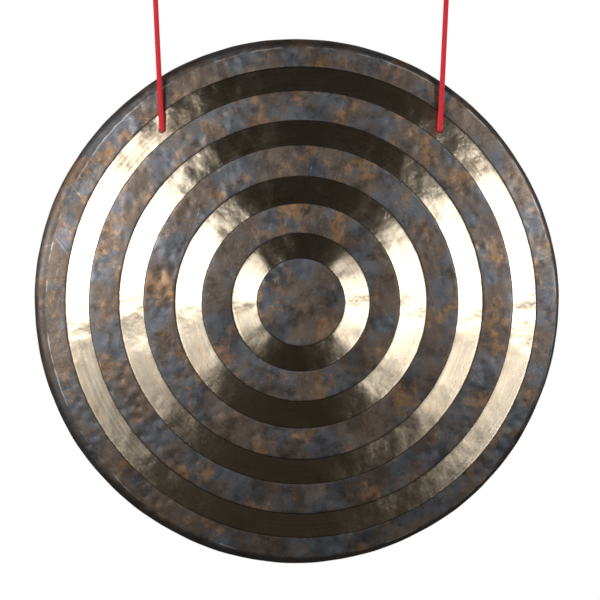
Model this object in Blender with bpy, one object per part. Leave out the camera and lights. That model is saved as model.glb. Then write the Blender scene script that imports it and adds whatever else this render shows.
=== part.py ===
"""Wind gong: a dished bronze plate with four lathed bands, hung on two tied cords.

Metres, +Z up, the struck face looks along -Y. The origin is midway between the
two S-hooks, at the height where a stand's bar would carry them. Everything that
hangs lies in the plane y = 0, with the plate's weight straight under the cords.
"""
import math

import bmesh
import bpy
import numpy as np
from mathutils import Vector

# Plate
GONG_RADIUS = 0.305
DOME_RISE = 0.0225
RIM_TURN_WIDTH = 0.009
RIM_TURN_DEPTH = 0.0035
CENTRE_THICKNESS = 0.0020
RIM_THICKNESS = 0.0013
EDGE_ROUND = 0.0004
# The rim was cut a little off the centre that the bands were turned on
RIM_SHIFT_X = -0.0050
RIM_SHIFT_Z = 0.0014
# Lathed bands, inner and outer radius of each
LATHED_BANDS = ((0.0505, 0.0794), (0.1138, 0.1451), (0.1812, 0.2099), (0.2446, 0.2726))
BAND_DEPTH = 0.00015
BAND_SHOULDER = 0.0005
PLATE_SEGMENTS = 112
DOME_STATION = 0.024

# Holes for the cords
HOLE_SPACING = 0.321
HOLE_INSET = 0.049
HOLE_CLEARANCE = 0.0025
HOLE_CHAMFER = 0.0005

# Cords
CORD_WIDTH = 0.006
SEAT_GAP = 0.0003
CORD_DROP = 0.2300
CORD_LEAN = math.radians(2.7)
HOLE_BEND = 0.005
EYE_RADIUS = 0.0090
EYE_LENGTH = 0.028
LOOP_TAIL = 0.012
STOPPER_TAIL = 0.021
TAIL_BEND = 0.018

# S-hooks of round steel wire
HOOK_WIRE = 0.004
HOOK_TOP_BEND = 0.014
HOOK_ROOM = 0.0014
HOOK_BEND_DISTANCE = 0.040
HOOK_TIP = 0.005

# A knot's turns are settled in cord widths, then drawn at this pitch
KNOT_SLACK = 0.0005
KNOT_PITCH = CORD_WIDTH + KNOT_SLACK
POINT_STEP = 0.25
TURN_REACH = 6
BEND_STEP = 4
BEND_CHORD = 0.92
HITCH_TOP = 2.0
HITCH_SLIDE = 0.006
TUBE_STEP = 0.40
CORD_SIDES = 2
WIRE_SIDES = 3

# Worked out from the sizes above
CORD_RADIUS = CORD_WIDTH / 2
WIRE_RADIUS = HOOK_WIRE / 2
HOLE_RADIUS = (CORD_WIDTH + HOLE_CLEARANCE) / 2
HOLE_FROM_CENTRE = GONG_RADIUS - HOLE_INSET
HOLE_X = HOLE_SPACING / 2
HOLE_Z = math.sqrt(HOLE_FROM_CENTRE ** 2 - HOLE_X ** 2)
LOW_BEND = CORD_WIDTH + 2 * SEAT_GAP + WIRE_RADIUS + HOOK_ROOM
SWING_Z = -(HOOK_TOP_BEND - WIRE_RADIUS) - HOOK_BEND_DISTANCE
TILT_Z = SWING_Z - CORD_DROP


def clear_scene():
    """Remove every object of the start-up scene."""
    for item in list(bpy.data.objects):
        bpy.data.objects.remove(item, do_unlink=True)


def make_material(name, color, roughness, metallic):
    """Return a Principled material with the part's own colour."""
    material = bpy.data.materials.new(name)
    material.use_nodes = True
    shader = material.node_tree.nodes["Principled BSDF"]
    shader.inputs["Base Color"].default_value = (*color, 1.0)
    shader.inputs["Roughness"].default_value = roughness
    shader.inputs["Metallic"].default_value = metallic
    return material


def add_object(name, data, parent, material):
    """Link new data to the scene under its parent, in the parent's frame."""
    item = bpy.data.objects.new(name, data)
    bpy.context.scene.collection.objects.link(item)
    item.parent = parent
    item.data.materials.append(material)
    return item


def add_pivot(name, height, parent=None):
    """Return an empty on the axis of a joint, which runs along X."""
    pivot = bpy.data.objects.new(name, None)
    bpy.context.scene.collection.objects.link(pivot)
    pivot.parent = parent
    pivot.location = (0.0, 0.0, height)
    return pivot


# The plate's section

def front_depth(radius):
    """Depth of the struck face behind its highest point, at a radius."""
    depth = DOME_RISE * (radius / GONG_RADIUS) ** 2
    turned = max(0.0, radius - (GONG_RADIUS - RIM_TURN_WIDTH))
    return depth + RIM_TURN_DEPTH * (turned / RIM_TURN_WIDTH) ** 2


def face_slope(radius):
    """Slope of the dome at a radius inside the turned rim."""
    return 2 * DOME_RISE * radius / GONG_RADIUS ** 2


def wall(radius):
    """Thickness of the plate at a radius."""
    return CENTRE_THICKNESS + (RIM_THICKNESS - CENTRE_THICKNESS) * (radius / GONG_RADIUS) ** 2


def lathed_bands():
    """Bands that lie wholly inside the turned rim."""
    room = GONG_RADIUS - RIM_TURN_WIDTH - BAND_SHOULDER
    return [band for band in LATHED_BANDS if band[1] < room]


def dome_stations(start, end):
    """Radii between two others, evenly spaced at about the dome's station."""
    count = max(1, round((end - start) / DOME_STATION))
    return [start + (end - start) * step / count for step in range(1, count)]


def front_section():
    """Radius and depth pairs of the struck face, from the centre to the rim."""
    section = []
    edge = 0.0
    for inner, outer in lathed_bands():
        section += [(radius, front_depth(radius)) for radius in dome_stations(edge, inner)]
        floor = [inner + BAND_SHOULDER, *dome_stations(inner, outer), outer - BAND_SHOULDER]
        section.append((inner, front_depth(inner)))
        section += [(radius, front_depth(radius) + BAND_DEPTH) for radius in floor]
        section.append((outer, front_depth(outer)))
        edge = outer
    turn = GONG_RADIUS - RIM_TURN_WIDTH
    section += [(radius, front_depth(radius)) for radius in dome_stations(edge, turn)]
    for share in (0.0, 0.4, 0.75):
        radius = turn + share * RIM_TURN_WIDTH
        section.append((radius, front_depth(radius)))
    section.append((GONG_RADIUS - EDGE_ROUND, front_depth(GONG_RADIUS - EDGE_ROUND)))
    return section


def back_section():
    """Radius and depth pairs of the back, from the rim to the centre."""
    rim = GONG_RADIUS - EDGE_ROUND
    turn = GONG_RADIUS - RIM_TURN_WIDTH
    radii = [rim, *[turn + share * RIM_TURN_WIDTH for share in (0.6, 0.0)]]
    radii += reversed(dome_stations(0.0, turn))
    return [(radius, front_depth(radius) + wall(radius)) for radius in radii]


def shift_at(radius):
    """How far the plate's circle at a radius lies off the lathe's centre."""
    last = max((outer for inner, outer in lathed_bands()), default=0.0)
    share = max(0.0, (radius - last) / (GONG_RADIUS - last))
    return RIM_SHIFT_X * share, RIM_SHIFT_Z * share


def circle_of_points(mesh, radius, depth):
    """Add one circle of the section to the mesh and return its vertices."""
    shift_x, shift_z = shift_at(radius)
    circle = []
    for step in range(PLATE_SEGMENTS):
        angle = 2 * math.pi * step / PLATE_SEGMENTS
        place = (shift_x + radius * math.cos(angle), depth, shift_z + radius * math.sin(angle))
        circle.append(mesh.verts.new(place))
    return circle


def plate_mesh():
    """Return the plate before its holes: the section lofted round the lathe's centre."""
    rim_depth = front_depth(GONG_RADIUS) + RIM_THICKNESS / 2
    section = [*front_section(), (GONG_RADIUS, rim_depth), *back_section()]
    mesh = bmesh.new()
    circles = [circle_of_points(mesh, radius, depth) for radius, depth in section]
    for near, far in zip(circles, circles[1:]):
        for step in range(PLATE_SEGMENTS):
            after = (step + 1) % PLATE_SEGMENTS
            mesh.faces.new((near[step], near[after], far[after], far[step]))
    for circle, depth in ((circles[0], 0.0), (circles[-1], CENTRE_THICKNESS)):
        pole = mesh.verts.new((0.0, depth, 0.0))
        for step in range(PLATE_SEGMENTS):
            mesh.faces.new((circle[step], circle[(step + 1) % PLATE_SEGMENTS], pole))
    bmesh.ops.recalc_face_normals(mesh, faces=mesh.faces)
    data = bpy.data.meshes.new("gong_plate")
    mesh.to_mesh(data)
    mesh.free()
    data.shade_smooth()
    data.set_sharp_from_angle(angle=math.radians(20))
    return data


# Where the cords meet the plate, in the plate's own frame

def hole_frame(side):
    """Return a hole's centre on the struck face, its direction to the back, and its up."""
    centre = Vector((side * HOLE_X, front_depth(HOLE_FROM_CENTRE), HOLE_Z))
    slope = face_slope(HOLE_FROM_CENTRE)
    outward = Vector((centre.x, 0.0, centre.z)).normalized()
    back = (Vector((0.0, 1.0, 0.0)) - slope * outward).normalized()
    up = (Vector((0.0, 0.0, 1.0)) - back.z * back).normalized()
    return centre, back, up


def strand_direction(side):
    """Direction down a cord, from its hook to its hole."""
    return Vector((-side * math.sin(CORD_LEAN), 0.0, -math.cos(CORD_LEAN)))


def cord_corner(side):
    """Return where a cord's strand and its run through the hole would cross."""
    centre, back, up = hole_frame(side)
    seat = CORD_RADIUS + SEAT_GAP
    stand_off = seat + (HOLE_BEND - seat) * (1 - math.sqrt(0.5))
    return centre + up * (HOLE_RADIUS - stand_off) - back * stand_off


def turn_into_hole(side):
    """Angle through which a cord turns from its strand into its hole."""
    return strand_direction(side).angle(hole_frame(side)[1])


def tilt_point(side):
    """Return where the strand starts to bend: the plate rocks on this point."""
    lead = HOLE_BEND * math.tan(turn_into_hole(side) / 2)
    return cord_corner(side) - strand_direction(side) * lead


def plate_place():
    """Return the plate's own origin as seen from the tilt axis."""
    point = tilt_point(1)
    return Vector((0.0, -point.y, -point.z))


def hang_angle():
    """Angle that the plate leans by, so that its weight hangs under the tilt axis."""
    steps = 400
    weight = 0.0
    moment = 0.0
    for step in range(steps):
        radius = GONG_RADIUS * (step + 0.5) / steps
        ring = wall(radius) * radius
        weight += ring
        moment += ring * (front_depth(radius) + wall(radius) / 2)
    place = plate_place()
    behind = place.y + moment / weight
    below = -(place.z + RIM_SHIFT_Z)
    return -math.atan2(behind, below)


def hole_cutter(side, parent, material):
    """Add the hidden turned cutter that drills and chamfers one hole."""
    centre, back, up = hole_frame(side)
    depth = wall(HOLE_FROM_CENTRE) + BAND_DEPTH
    past = 4 * HOLE_CHAMFER
    wide = HOLE_RADIUS + HOLE_CHAMFER + past
    profile = (
        (-past, wide), (HOLE_CHAMFER, HOLE_RADIUS), (depth - HOLE_CHAMFER, HOLE_RADIUS), (depth + past, wide),
    )
    across = back.cross(up)
    segments = 24
    mesh = bmesh.new()
    circles = []
    for along, radius in profile:
        angles = [2 * math.pi * step / segments for step in range(segments)]
        places = [centre + back * along + (up * math.cos(a) + across * math.sin(a)) * radius for a in angles]
        circles.append([mesh.verts.new(place) for place in places])
    for near, far in zip(circles, circles[1:]):
        for step in range(segments):
            after = (step + 1) % segments
            mesh.faces.new((near[step], near[after], far[after], far[step]))
    mesh.faces.new(circles[0])
    mesh.faces.new(circles[-1])
    bmesh.ops.recalc_face_normals(mesh, faces=mesh.faces)
    data = bpy.data.meshes.new("hole_cutter")
    mesh.to_mesh(data)
    mesh.free()
    cutter = add_object("hole_cutter", data, parent, material)
    cutter.location = plate_place()
    cutter.display_type = "WIRE"
    cutter.hide_render = True
    return cutter


def build_plate(tilt, bronze):
    """Build the plate with its two holes."""
    plate = add_object("gong_plate", plate_mesh(), tilt, bronze)
    plate.location = plate_place()
    for side in (-1, 1):
        cut = plate.modifiers.new("cord hole", "BOOLEAN")
        cut.operation = "DIFFERENCE"
        cut.solver = "EXACT"
        cut.object = hole_cutter(side, tilt, bronze)


# Cords and wires drawn along a path

def resample(path, step):
    """Return the path with its points evenly spaced at about a step."""
    edges = np.linalg.norm(path[1:] - path[:-1], axis=1)
    along = np.concatenate(([0.0], np.cumsum(edges)))
    count = max(2, round(along[-1] / step))
    at = np.linspace(0.0, along[-1], count + 1)
    return np.stack([np.interp(at, along, path[:, axis]) for axis in range(3)], axis=1)


def tube(name, path, widths, radius, sides, parent, material):
    """Add a round tube along a path, with a share of its radius at each point."""
    curve = bpy.data.curves.new(name, "CURVE")
    curve.dimensions = "3D"
    curve.bevel_depth = radius
    curve.bevel_resolution = sides
    curve.use_fill_caps = True
    spline = curve.splines.new("POLY")
    spline.points.add(len(path) - 1)
    for point, place, width in zip(spline.points, path, widths):
        point.co = (*place, 1.0)
        point.radius = width
    spline.use_smooth = True
    return add_object(name, curve, parent, material)


def round_end(path, radius, at_start):
    """Add points past one end of a path, and shares of width that dome it over."""
    steps = (15, 30, 45, 60, 75)
    end, inner = (path[0], path[1]) if at_start else (path[-1], path[-2])
    out = (end - inner) / np.linalg.norm(end - inner)
    dome = [end + out * radius * math.sin(math.radians(angle)) for angle in steps]
    shares = [math.cos(math.radians(angle)) for angle in steps]
    plain = [1.0] * len(path)
    if at_start:
        return np.array(dome[::-1] + list(path)), shares[::-1] + plain
    return np.array(list(path) + dome), plain + shares


# Knots, settled in cord widths

def near_turns(path, reach=1.6):
    """Return the pairs of points of other turns that are within reach of each other."""
    gaps = np.linalg.norm(path[:, None, :] - path[None, :, :], axis=2)
    first, second = np.nonzero(gaps < reach)
    apart = second - first >= TURN_REACH
    return first[apart], second[apart]


def settle(path, ends, passes, around_strand):
    """Even out a cord's points, keep its turns a width apart and its bends open.

    Turns tied around a strand are kept off it and slid together along it.
    """
    for count in range(passes):
        if count % 8 == 0:
            first, second = near_turns(path)
        move = np.zeros_like(path)
        edge = path[1:] - path[:-1]
        length = np.linalg.norm(edge, axis=1)
        fix = edge * (0.5 * (length - POINT_STEP) / length)[:, None]
        move[:-1] += fix
        move[1:] -= fix
        chord = path[BEND_STEP:] - path[:-BEND_STEP]
        length = np.linalg.norm(chord, axis=1)
        fix = chord * (0.25 * np.clip(BEND_CHORD - length, 0.0, None) / length)[:, None]
        move[BEND_STEP:] += fix
        move[:-BEND_STEP] -= fix
        gap = path[first] - path[second]
        length = np.linalg.norm(gap, axis=1)
        fix = gap * (0.3 * np.clip(1.0 - length, 0.0, None) / length)[:, None]
        np.add.at(move, first, fix)
        np.add.at(move, second, -fix)
        if around_strand:
            off = path * np.array((1.0, 1.0, 0.0))
            length = np.maximum(np.linalg.norm(off, axis=1), 0.01)
            move += off * (np.clip(1.0 - length, 0.0, None) / length)[:, None]
            tied = (length < 2.5) & (np.abs(path[:, 2]) < 3.0)
            move[:, 2] -= HITCH_SLIDE * np.clip(path[:, 2], -1.0, 1.0) * tied
        path = path + move
        if ends is not None:
            path[0], path[-1] = ends
    return path


def draw_tight(path, pulls, steps, around_strand=False):
    """Pull a loose knot's two ends by a little at each step, then let it rest."""
    path = resample(path, POINT_STEP)
    ends = [path[0].copy(), path[-1].copy()]
    path = settle(path, ends, 60, around_strand)
    for _ in range(steps):
        ends = [end + np.array(pull) for end, pull in zip(ends, pulls)]
        path = settle(path, ends, 8, around_strand)
    return settle(path, None, 60, around_strand)


def bow(start, middle, end, count=30):
    """Return points along a curve that leaves start and reaches end past middle."""
    share = np.linspace(0.0, 1.0, count)[:, None]
    start, middle, end = (np.array(point, dtype=float) for point in (start, middle, end))
    return (1 - share) ** 2 * start + 2 * share * (1 - share) * middle + share ** 2 * end


def overhand_knot():
    """Return a tight overhand knot whose ends leave along +X and -X."""
    open_angle = 0.9
    lobe = 0.85
    turn = np.linspace(math.pi + open_angle, 3 * math.pi - open_angle, 160)
    across = np.sin(turn) + 2 * np.sin(2 * turn)
    upward = np.cos(turn) - 2 * np.cos(2 * turn)
    lobes = lobe * np.stack([across, upward, -np.sin(3 * turn)], axis=1)
    first = bow((3.5, -1.6, 0.0), (1.4, -1.6, 0.0), lobes[0])
    last = bow(lobes[-1], (-1.4, -1.6, 0.0), (-3.5, -1.6, 0.0))
    loose = np.concatenate((first[:-1], lobes, last[1:]))
    return draw_tight(loose, ((0.01, 0.0, 0.0), (-0.01, 0.0, 0.0)), 526)


def half_hitches():
    """Return two half hitches round a strand that stands along Z.

    The cord comes down at the strand's right, crosses in front of it, goes round
    behind and up, and tucks in between itself and the strand; then again below.
    Each entry is an angle round the strand, a height and a distance from it.
    """
    turns = (
        (0, 6.0, 1.6), (0, 3.2, 2.2), (20, 1.6, 2.2), (50, 0.5, 1.5), (90, 0.0, 1.15), (180, 0.1, 1.15),
        (270, 0.6, 1.15), (330, 1.3, 1.15), (360, 1.5, 1.15), (390, 1.6, 1.4), (410, 1.2, 2.1),
        (420, 0.3, 2.3), (424, -0.8, 2.3), (430, -1.7, 2.1), (455, -2.3, 1.4), (540, -2.3, 1.15),
        (630, -1.8, 1.15), (700, -1.25, 1.15), (745, -1.15, 1.15), (790, -1.15, 1.15),
        (825, -1.2, 1.5), (850, -1.8, 2.2), (858, -2.8, 2.4), (862, -5.5, 2.4),
    )
    angle, height, away = np.array(turns, dtype=float).T
    at = np.linspace(0, len(turns) - 1, 400)
    order = np.arange(len(turns))
    angle, height, away = (np.interp(at, order, values) for values in (np.radians(angle), height, away))
    loose = np.stack([away * np.cos(angle), -away * np.sin(angle), height], axis=1)
    return draw_tight(loose, ((-0.001, 0.0, 0.006), (0.001, 0.001, -0.006)), 420, around_strand=True)


# The cords' routes

def strand_frame(side):
    """Return the directions across and up a cord's strand."""
    up = -strand_direction(side)
    across = Vector((0.0, 1.0, 0.0)).cross(up).normalized()
    return np.array(across), np.array((0.0, 1.0, 0.0)), np.array(up)


def join(start, start_way, end, end_way, count):
    """Return points of a smooth cord between two points, given its way at each."""
    share = np.linspace(0.0, 1.0, count)[:, None]
    reach = np.linalg.norm(end - start)
    start_way = start_way * reach / np.linalg.norm(start_way)
    end_way = end_way * reach / np.linalg.norm(end_way)
    near = (1 + 2 * share) * (1 - share) ** 2 * start + share * (1 - share) ** 2 * start_way
    far = share ** 2 * (3 - 2 * share) * end - share ** 2 * (1 - share) * end_way
    return near + far


def eye_route(knot_top, knot_way, hitch_height):
    """Return the cord from its lower end up its strand and round its eye to the knot."""
    apex = CORD_DROP / math.cos(CORD_LEAN) - (LOW_BEND - WIRE_RADIUS - SEAT_GAP - CORD_RADIUS)
    middle = apex - EYE_RADIUS
    leave = hitch_height + HITCH_TOP * KNOT_PITCH
    up = np.array((0.0, 0.0, 1.0))
    angles = np.linspace(math.pi, 0.0, 14)
    crown = np.stack([EYE_RADIUS * np.cos(angles), 0 * angles, middle + EYE_RADIUS * np.sin(angles)], axis=1)
    strand = np.stack([np.zeros(12), np.zeros(12), np.linspace(0.0, leave, 12)], axis=1)
    rise = join(strand[-1], up, crown[0], up, 9)
    fall = join(crown[-1], -up, knot_top, knot_way, 7)
    return np.concatenate((strand[:-1], rise[:-1], crown[:-1], fall))


def build_cord(side, name, swing, hitch, red):
    """Build a strand with its eye, and the two half hitches that close the eye."""
    across, behind, up = strand_frame(side)
    foot = np.array((tilt_point(side).x, 0.0, TILT_Z - SWING_Z))
    apex = CORD_DROP / math.cos(CORD_LEAN) - (LOW_BEND - WIRE_RADIUS - SEAT_GAP - CORD_RADIUS)
    height = apex - EYE_LENGTH - HITCH_TOP * KNOT_PITCH

    def place(points):
        return foot + points[:, :1] * across + points[:, 1:2] * behind + points[:, 2:] * up

    first = np.nonzero(hitch[:, 2] < HITCH_TOP)[0][0]
    last = np.nonzero(np.hypot(hitch[:, 0], hitch[:, 1]) < 1.2)[0][-1]
    turns = resample(hitch[first:last + 1] * KNOT_PITCH, TUBE_STEP * CORD_WIDTH)
    turns[:, 2] += height
    way = turns[1] - turns[0]
    top = turns[0] - way * SEAT_GAP / np.linalg.norm(way)
    tail_way = turns[-1] - turns[-2]
    tail = turns[-1] + tail_way * LOOP_TAIL / np.linalg.norm(tail_way)
    path, widths = round_end(place(eye_route(top, way, height)), CORD_RADIUS, at_start=True)
    tube("cord_" + name, path, widths, CORD_RADIUS, CORD_SIDES, swing, red)
    knot = np.array([*turns, 0.5 * (turns[-1] + tail), tail])
    path, widths = round_end(place(knot), CORD_RADIUS, at_start=False)
    tube("loop_knot_" + name, path, widths, CORD_RADIUS, CORD_SIDES, swing, red)


def bend_into_hole(side):
    """Return the cord's bend from clear of the strand's end to the hole's direction."""
    back = hole_frame(side)[1]
    down = strand_direction(side)
    turn = turn_into_hole(side)
    inward = (back - down * math.cos(turn)).normalized()
    start = math.asin((CORD_RADIUS + 2 * SEAT_GAP) / HOLE_BEND)
    centre = tilt_point(side) + inward * HOLE_BEND
    angles = [start + (turn - start) * step / 4 for step in range(5)]
    return [centre + (down * math.sin(a) - inward * math.cos(a)) * HOLE_BEND for a in angles]


def build_stopper(side, name, tilt, knot, red):
    """Build the cord's run through the hole, its overhand knot and its free tail."""
    centre, back, up = hole_frame(side)
    sideways = up.cross(back)
    start = cord_corner(side)
    touching = near_turns(knot, 1.2)
    first = min(touching[0])
    last = max(touching[1])
    turns = (knot[first:last + 1] - knot[first] * np.array((0.0, 1.0, 1.0))) * KNOT_PITCH
    turns[:, 0] *= -1
    seat = wall(HOLE_FROM_CENTRE) + CORD_RADIUS + SEAT_GAP
    turns[:, 0] += seat - (start - centre).dot(back) - turns[:, 0].min()
    turns = resample(turns, TUBE_STEP * CORD_WIDTH)
    places = [start + back * along + sideways * float(a) + up * float(b) for along, a, b in turns]
    bend = bend_into_hole(side)
    run = join(np.array(bend[-1]), np.array(back), np.array(places[0]), np.array(places[1] - places[0]), 5)
    leave = (places[-1] - places[-2]).normalized()
    droop = (Vector((0.0, 0.0, -1.0)) + leave * leave.z).normalized()
    middle = places[-1] + droop * TAIL_BEND
    swept = STOPPER_TAIL / TAIL_BEND
    angles = [swept * step / 7 for step in range(1, 8)]
    tail = [middle + (leave * math.sin(a) - droop * math.cos(a)) * TAIL_BEND for a in angles]
    path = np.array([*bend[:-1], *run[:-1], *places, *tail]) + np.array(plate_place())
    path, widths = round_end(path, CORD_RADIUS, at_start=False)
    tube("stopper_knot_" + name, path, widths, CORD_RADIUS, CORD_SIDES, tilt, red)


# The S-hooks

def hook_path():
    """Return the wire's path: low bend round the swing axis, top bend above it."""
    apart = math.acos((LOW_BEND + HOOK_TOP_BEND) / HOOK_BEND_DISTANCE)
    low_end = math.pi / 2 - apart
    low = [math.pi + (math.pi + low_end) * step / 18 for step in range(19)]
    path = [(0.0, -LOW_BEND, HOOK_TIP)]
    path += [(0.0, LOW_BEND * math.cos(a), LOW_BEND * math.sin(a)) for a in low]
    start = math.pi + low_end
    top = [start - (math.pi + low_end) * step / 20 for step in range(21)]
    rise = HOOK_BEND_DISTANCE
    path += [(0.0, HOOK_TOP_BEND * math.cos(a), rise + HOOK_TOP_BEND * math.sin(a)) for a in top]
    path.append((0.0, HOOK_TOP_BEND, rise - HOOK_TIP))
    return np.array(path)


def build_hook(side, name, root, steel):
    """Build one S-hook over its cord's eye."""
    reach = CORD_DROP / math.cos(CORD_LEAN)
    x = tilt_point(side).x + side * reach * math.sin(CORD_LEAN)
    path = hook_path() + np.array((x, 0.0, 0.0))
    path, widths = round_end(path, WIRE_RADIUS / 2, at_start=True)
    more, _ = round_end(path, WIRE_RADIUS / 2, at_start=False)
    widths = widths + widths[:len(more) - len(path)][::-1]
    tube("s_hook_" + name, more, widths, WIRE_RADIUS, WIRE_SIDES, root, steel)


def main():
    """Build the gong, its cords and its hooks."""
    clear_scene()
    bronze = make_material("patinated_bronze", (0.075, 0.060, 0.050), 0.5, 0.8)
    red = make_material("red_braid", (0.62, 0.010, 0.018), 0.7, 0.0)
    steel = make_material("zinc_plated_steel", (0.55, 0.56, 0.58), 0.3, 1.0)
    root = add_pivot("hooks", SWING_Z)
    swing = add_pivot("cord_swing", SWING_Z)
    tilt = add_pivot("gong_tilt", TILT_Z - SWING_Z, swing)
    tilt.rotation_euler.x = hang_angle()
    build_plate(tilt, bronze)
    hitch = half_hitches()
    knot = overhand_knot()
    for side, name in ((-1, "left"), (1, "right")):
        build_hook(side, name, root, steel)
        build_cord(side, name, swing, hitch, red)
        build_stopper(side, name, tilt, knot, red)


main()
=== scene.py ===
"""Dresses the wind gong: the bronze plate, its two braided cords with their knots, and the S-hooks.

Metres, +Z up, the struck face looks along -Y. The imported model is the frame; every piece made here
lies where the solid lies that it stands for.
"""
from __future__ import annotations

import logging
import math
from dataclasses import dataclass, field
from enum import Enum
from typing import Any, Union

import bpy
import numpy as np
from mathutils import Matrix, Vector

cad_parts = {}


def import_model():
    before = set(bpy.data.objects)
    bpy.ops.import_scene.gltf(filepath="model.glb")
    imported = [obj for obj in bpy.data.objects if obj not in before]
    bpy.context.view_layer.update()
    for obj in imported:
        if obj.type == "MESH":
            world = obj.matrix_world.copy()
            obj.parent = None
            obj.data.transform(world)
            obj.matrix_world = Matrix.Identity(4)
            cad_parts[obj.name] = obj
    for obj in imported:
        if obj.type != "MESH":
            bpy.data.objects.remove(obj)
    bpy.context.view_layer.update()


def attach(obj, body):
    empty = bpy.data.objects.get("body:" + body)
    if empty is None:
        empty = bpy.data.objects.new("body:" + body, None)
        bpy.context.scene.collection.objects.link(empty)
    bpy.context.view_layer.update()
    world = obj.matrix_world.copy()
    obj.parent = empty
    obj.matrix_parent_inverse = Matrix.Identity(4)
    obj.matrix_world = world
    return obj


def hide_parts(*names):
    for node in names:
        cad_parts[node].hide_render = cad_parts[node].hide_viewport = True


LOG = logging.getLogger("wind_gong")
# Bump heights are written in millimetres
BUMP_DISTANCE = 0.001
WELD_DISTANCE = 1e-6

Color = tuple[float, float, float]
Span = tuple[float, float]
# A noise's scale, its detail and, where it isn't the usual one, its roughness
NoiseKind = tuple[float, ...]
# A wave's rise, its count round the plate, its turn for each metre outwards, and its start
Wave = tuple[float, int, int, float]
Socket = bpy.types.NodeSocket
Value = Union[float, Socket]


class Side(Enum):
    """The two cords, by the sign of their X."""

    LEFT = -1
    RIGHT = 1

    @property
    def word(self) -> str:
        """The side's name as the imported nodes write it."""
        return self.name.lower()


# Modelling helpers


def deselect_all() -> None:
    """Leave nothing selected, so that the next operator acts on new geometry alone."""
    if bpy.context.mode != "OBJECT":
        bpy.ops.object.mode_set(mode="OBJECT")
    bpy.ops.object.select_all(action="DESELECT")


def activate(piece: bpy.types.Object) -> None:
    """Make one piece the only selected and active object.

    Args:
        piece: The piece that the next operator works on.
    """
    deselect_all()
    piece.select_set(True)
    bpy.context.view_layer.objects.active = piece


def vertex_places(piece: bpy.types.Object) -> np.ndarray:
    """Read the piece's vertices.

    Args:
        piece: The piece that is read.

    Returns:
        An array with a row for each vertex.
    """
    places = np.empty(len(piece.data.vertices) * 3)
    piece.data.vertices.foreach_get("co", places)
    return places.reshape(-1, 3)


def move_vertices(piece: bpy.types.Object, places: np.ndarray) -> None:
    """Put each vertex of the piece at its own row's place."""
    piece.data.vertices.foreach_set("co", places.ravel())
    piece.data.update()


def weld(piece: bpy.types.Object) -> None:
    """Merge vertices that lie together, and turn all faces outwards.

    Args:
        piece: The piece that is welded.
    """
    activate(piece)
    bpy.ops.object.mode_set(mode="EDIT")
    bpy.ops.mesh.select_all(action="SELECT")
    bpy.ops.mesh.remove_doubles(threshold=WELD_DISTANCE)
    bpy.ops.mesh.normals_make_consistent(inside=False)
    bpy.ops.object.mode_set(mode="OBJECT")


def distance_along(path: np.ndarray) -> np.ndarray:
    """Return each point's distance along a path from its start."""
    return np.concatenate(([0.0], np.cumsum(np.linalg.norm(path[1:] - path[:-1], axis=1))))


def resample(path: np.ndarray, step: float) -> np.ndarray:
    """Return the path with its points evenly spaced.

    Args:
        path: Points as rows.
        step: About the wanted spacing.

    Returns:
        The evenly spaced points, both ends included.
    """
    along = distance_along(path)
    count = max(2, round(along[-1] / step))
    at = np.linspace(0.0, along[-1], count + 1)
    return np.stack([np.interp(at, along, path[:, axis]) for axis in range(3)], axis=1)


def smooth_path(path: np.ndarray, parts: int) -> np.ndarray:
    """Return the path with each stretch split along a Catmull-Rom curve.

    Args:
        path: Points as rows.
        parts: How many pieces each stretch becomes.

    Returns:
        The finer path through the same points.
    """
    padded = np.concatenate(([2 * path[0] - path[1]], path, [2 * path[-1] - path[-2]]))
    before, start, end, after = padded[:-3], padded[1:-2], padded[2:-1], padded[3:]
    rows = []
    for share in np.arange(parts) / parts:
        cubic = -before + 3 * start - 3 * end + after
        square = 2 * before - 5 * start + 4 * end - after
        rows.append(0.5 * (cubic * share ** 3 + square * share ** 2 + (end - before) * share + 2 * start))
    return np.concatenate((np.stack(rows, axis=1).reshape(-1, 3), path[-1:]))


def path_length(path: np.ndarray) -> float:
    """Return the length of a path."""
    return float(np.linalg.norm(path[1:] - path[:-1], axis=1).sum())


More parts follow.
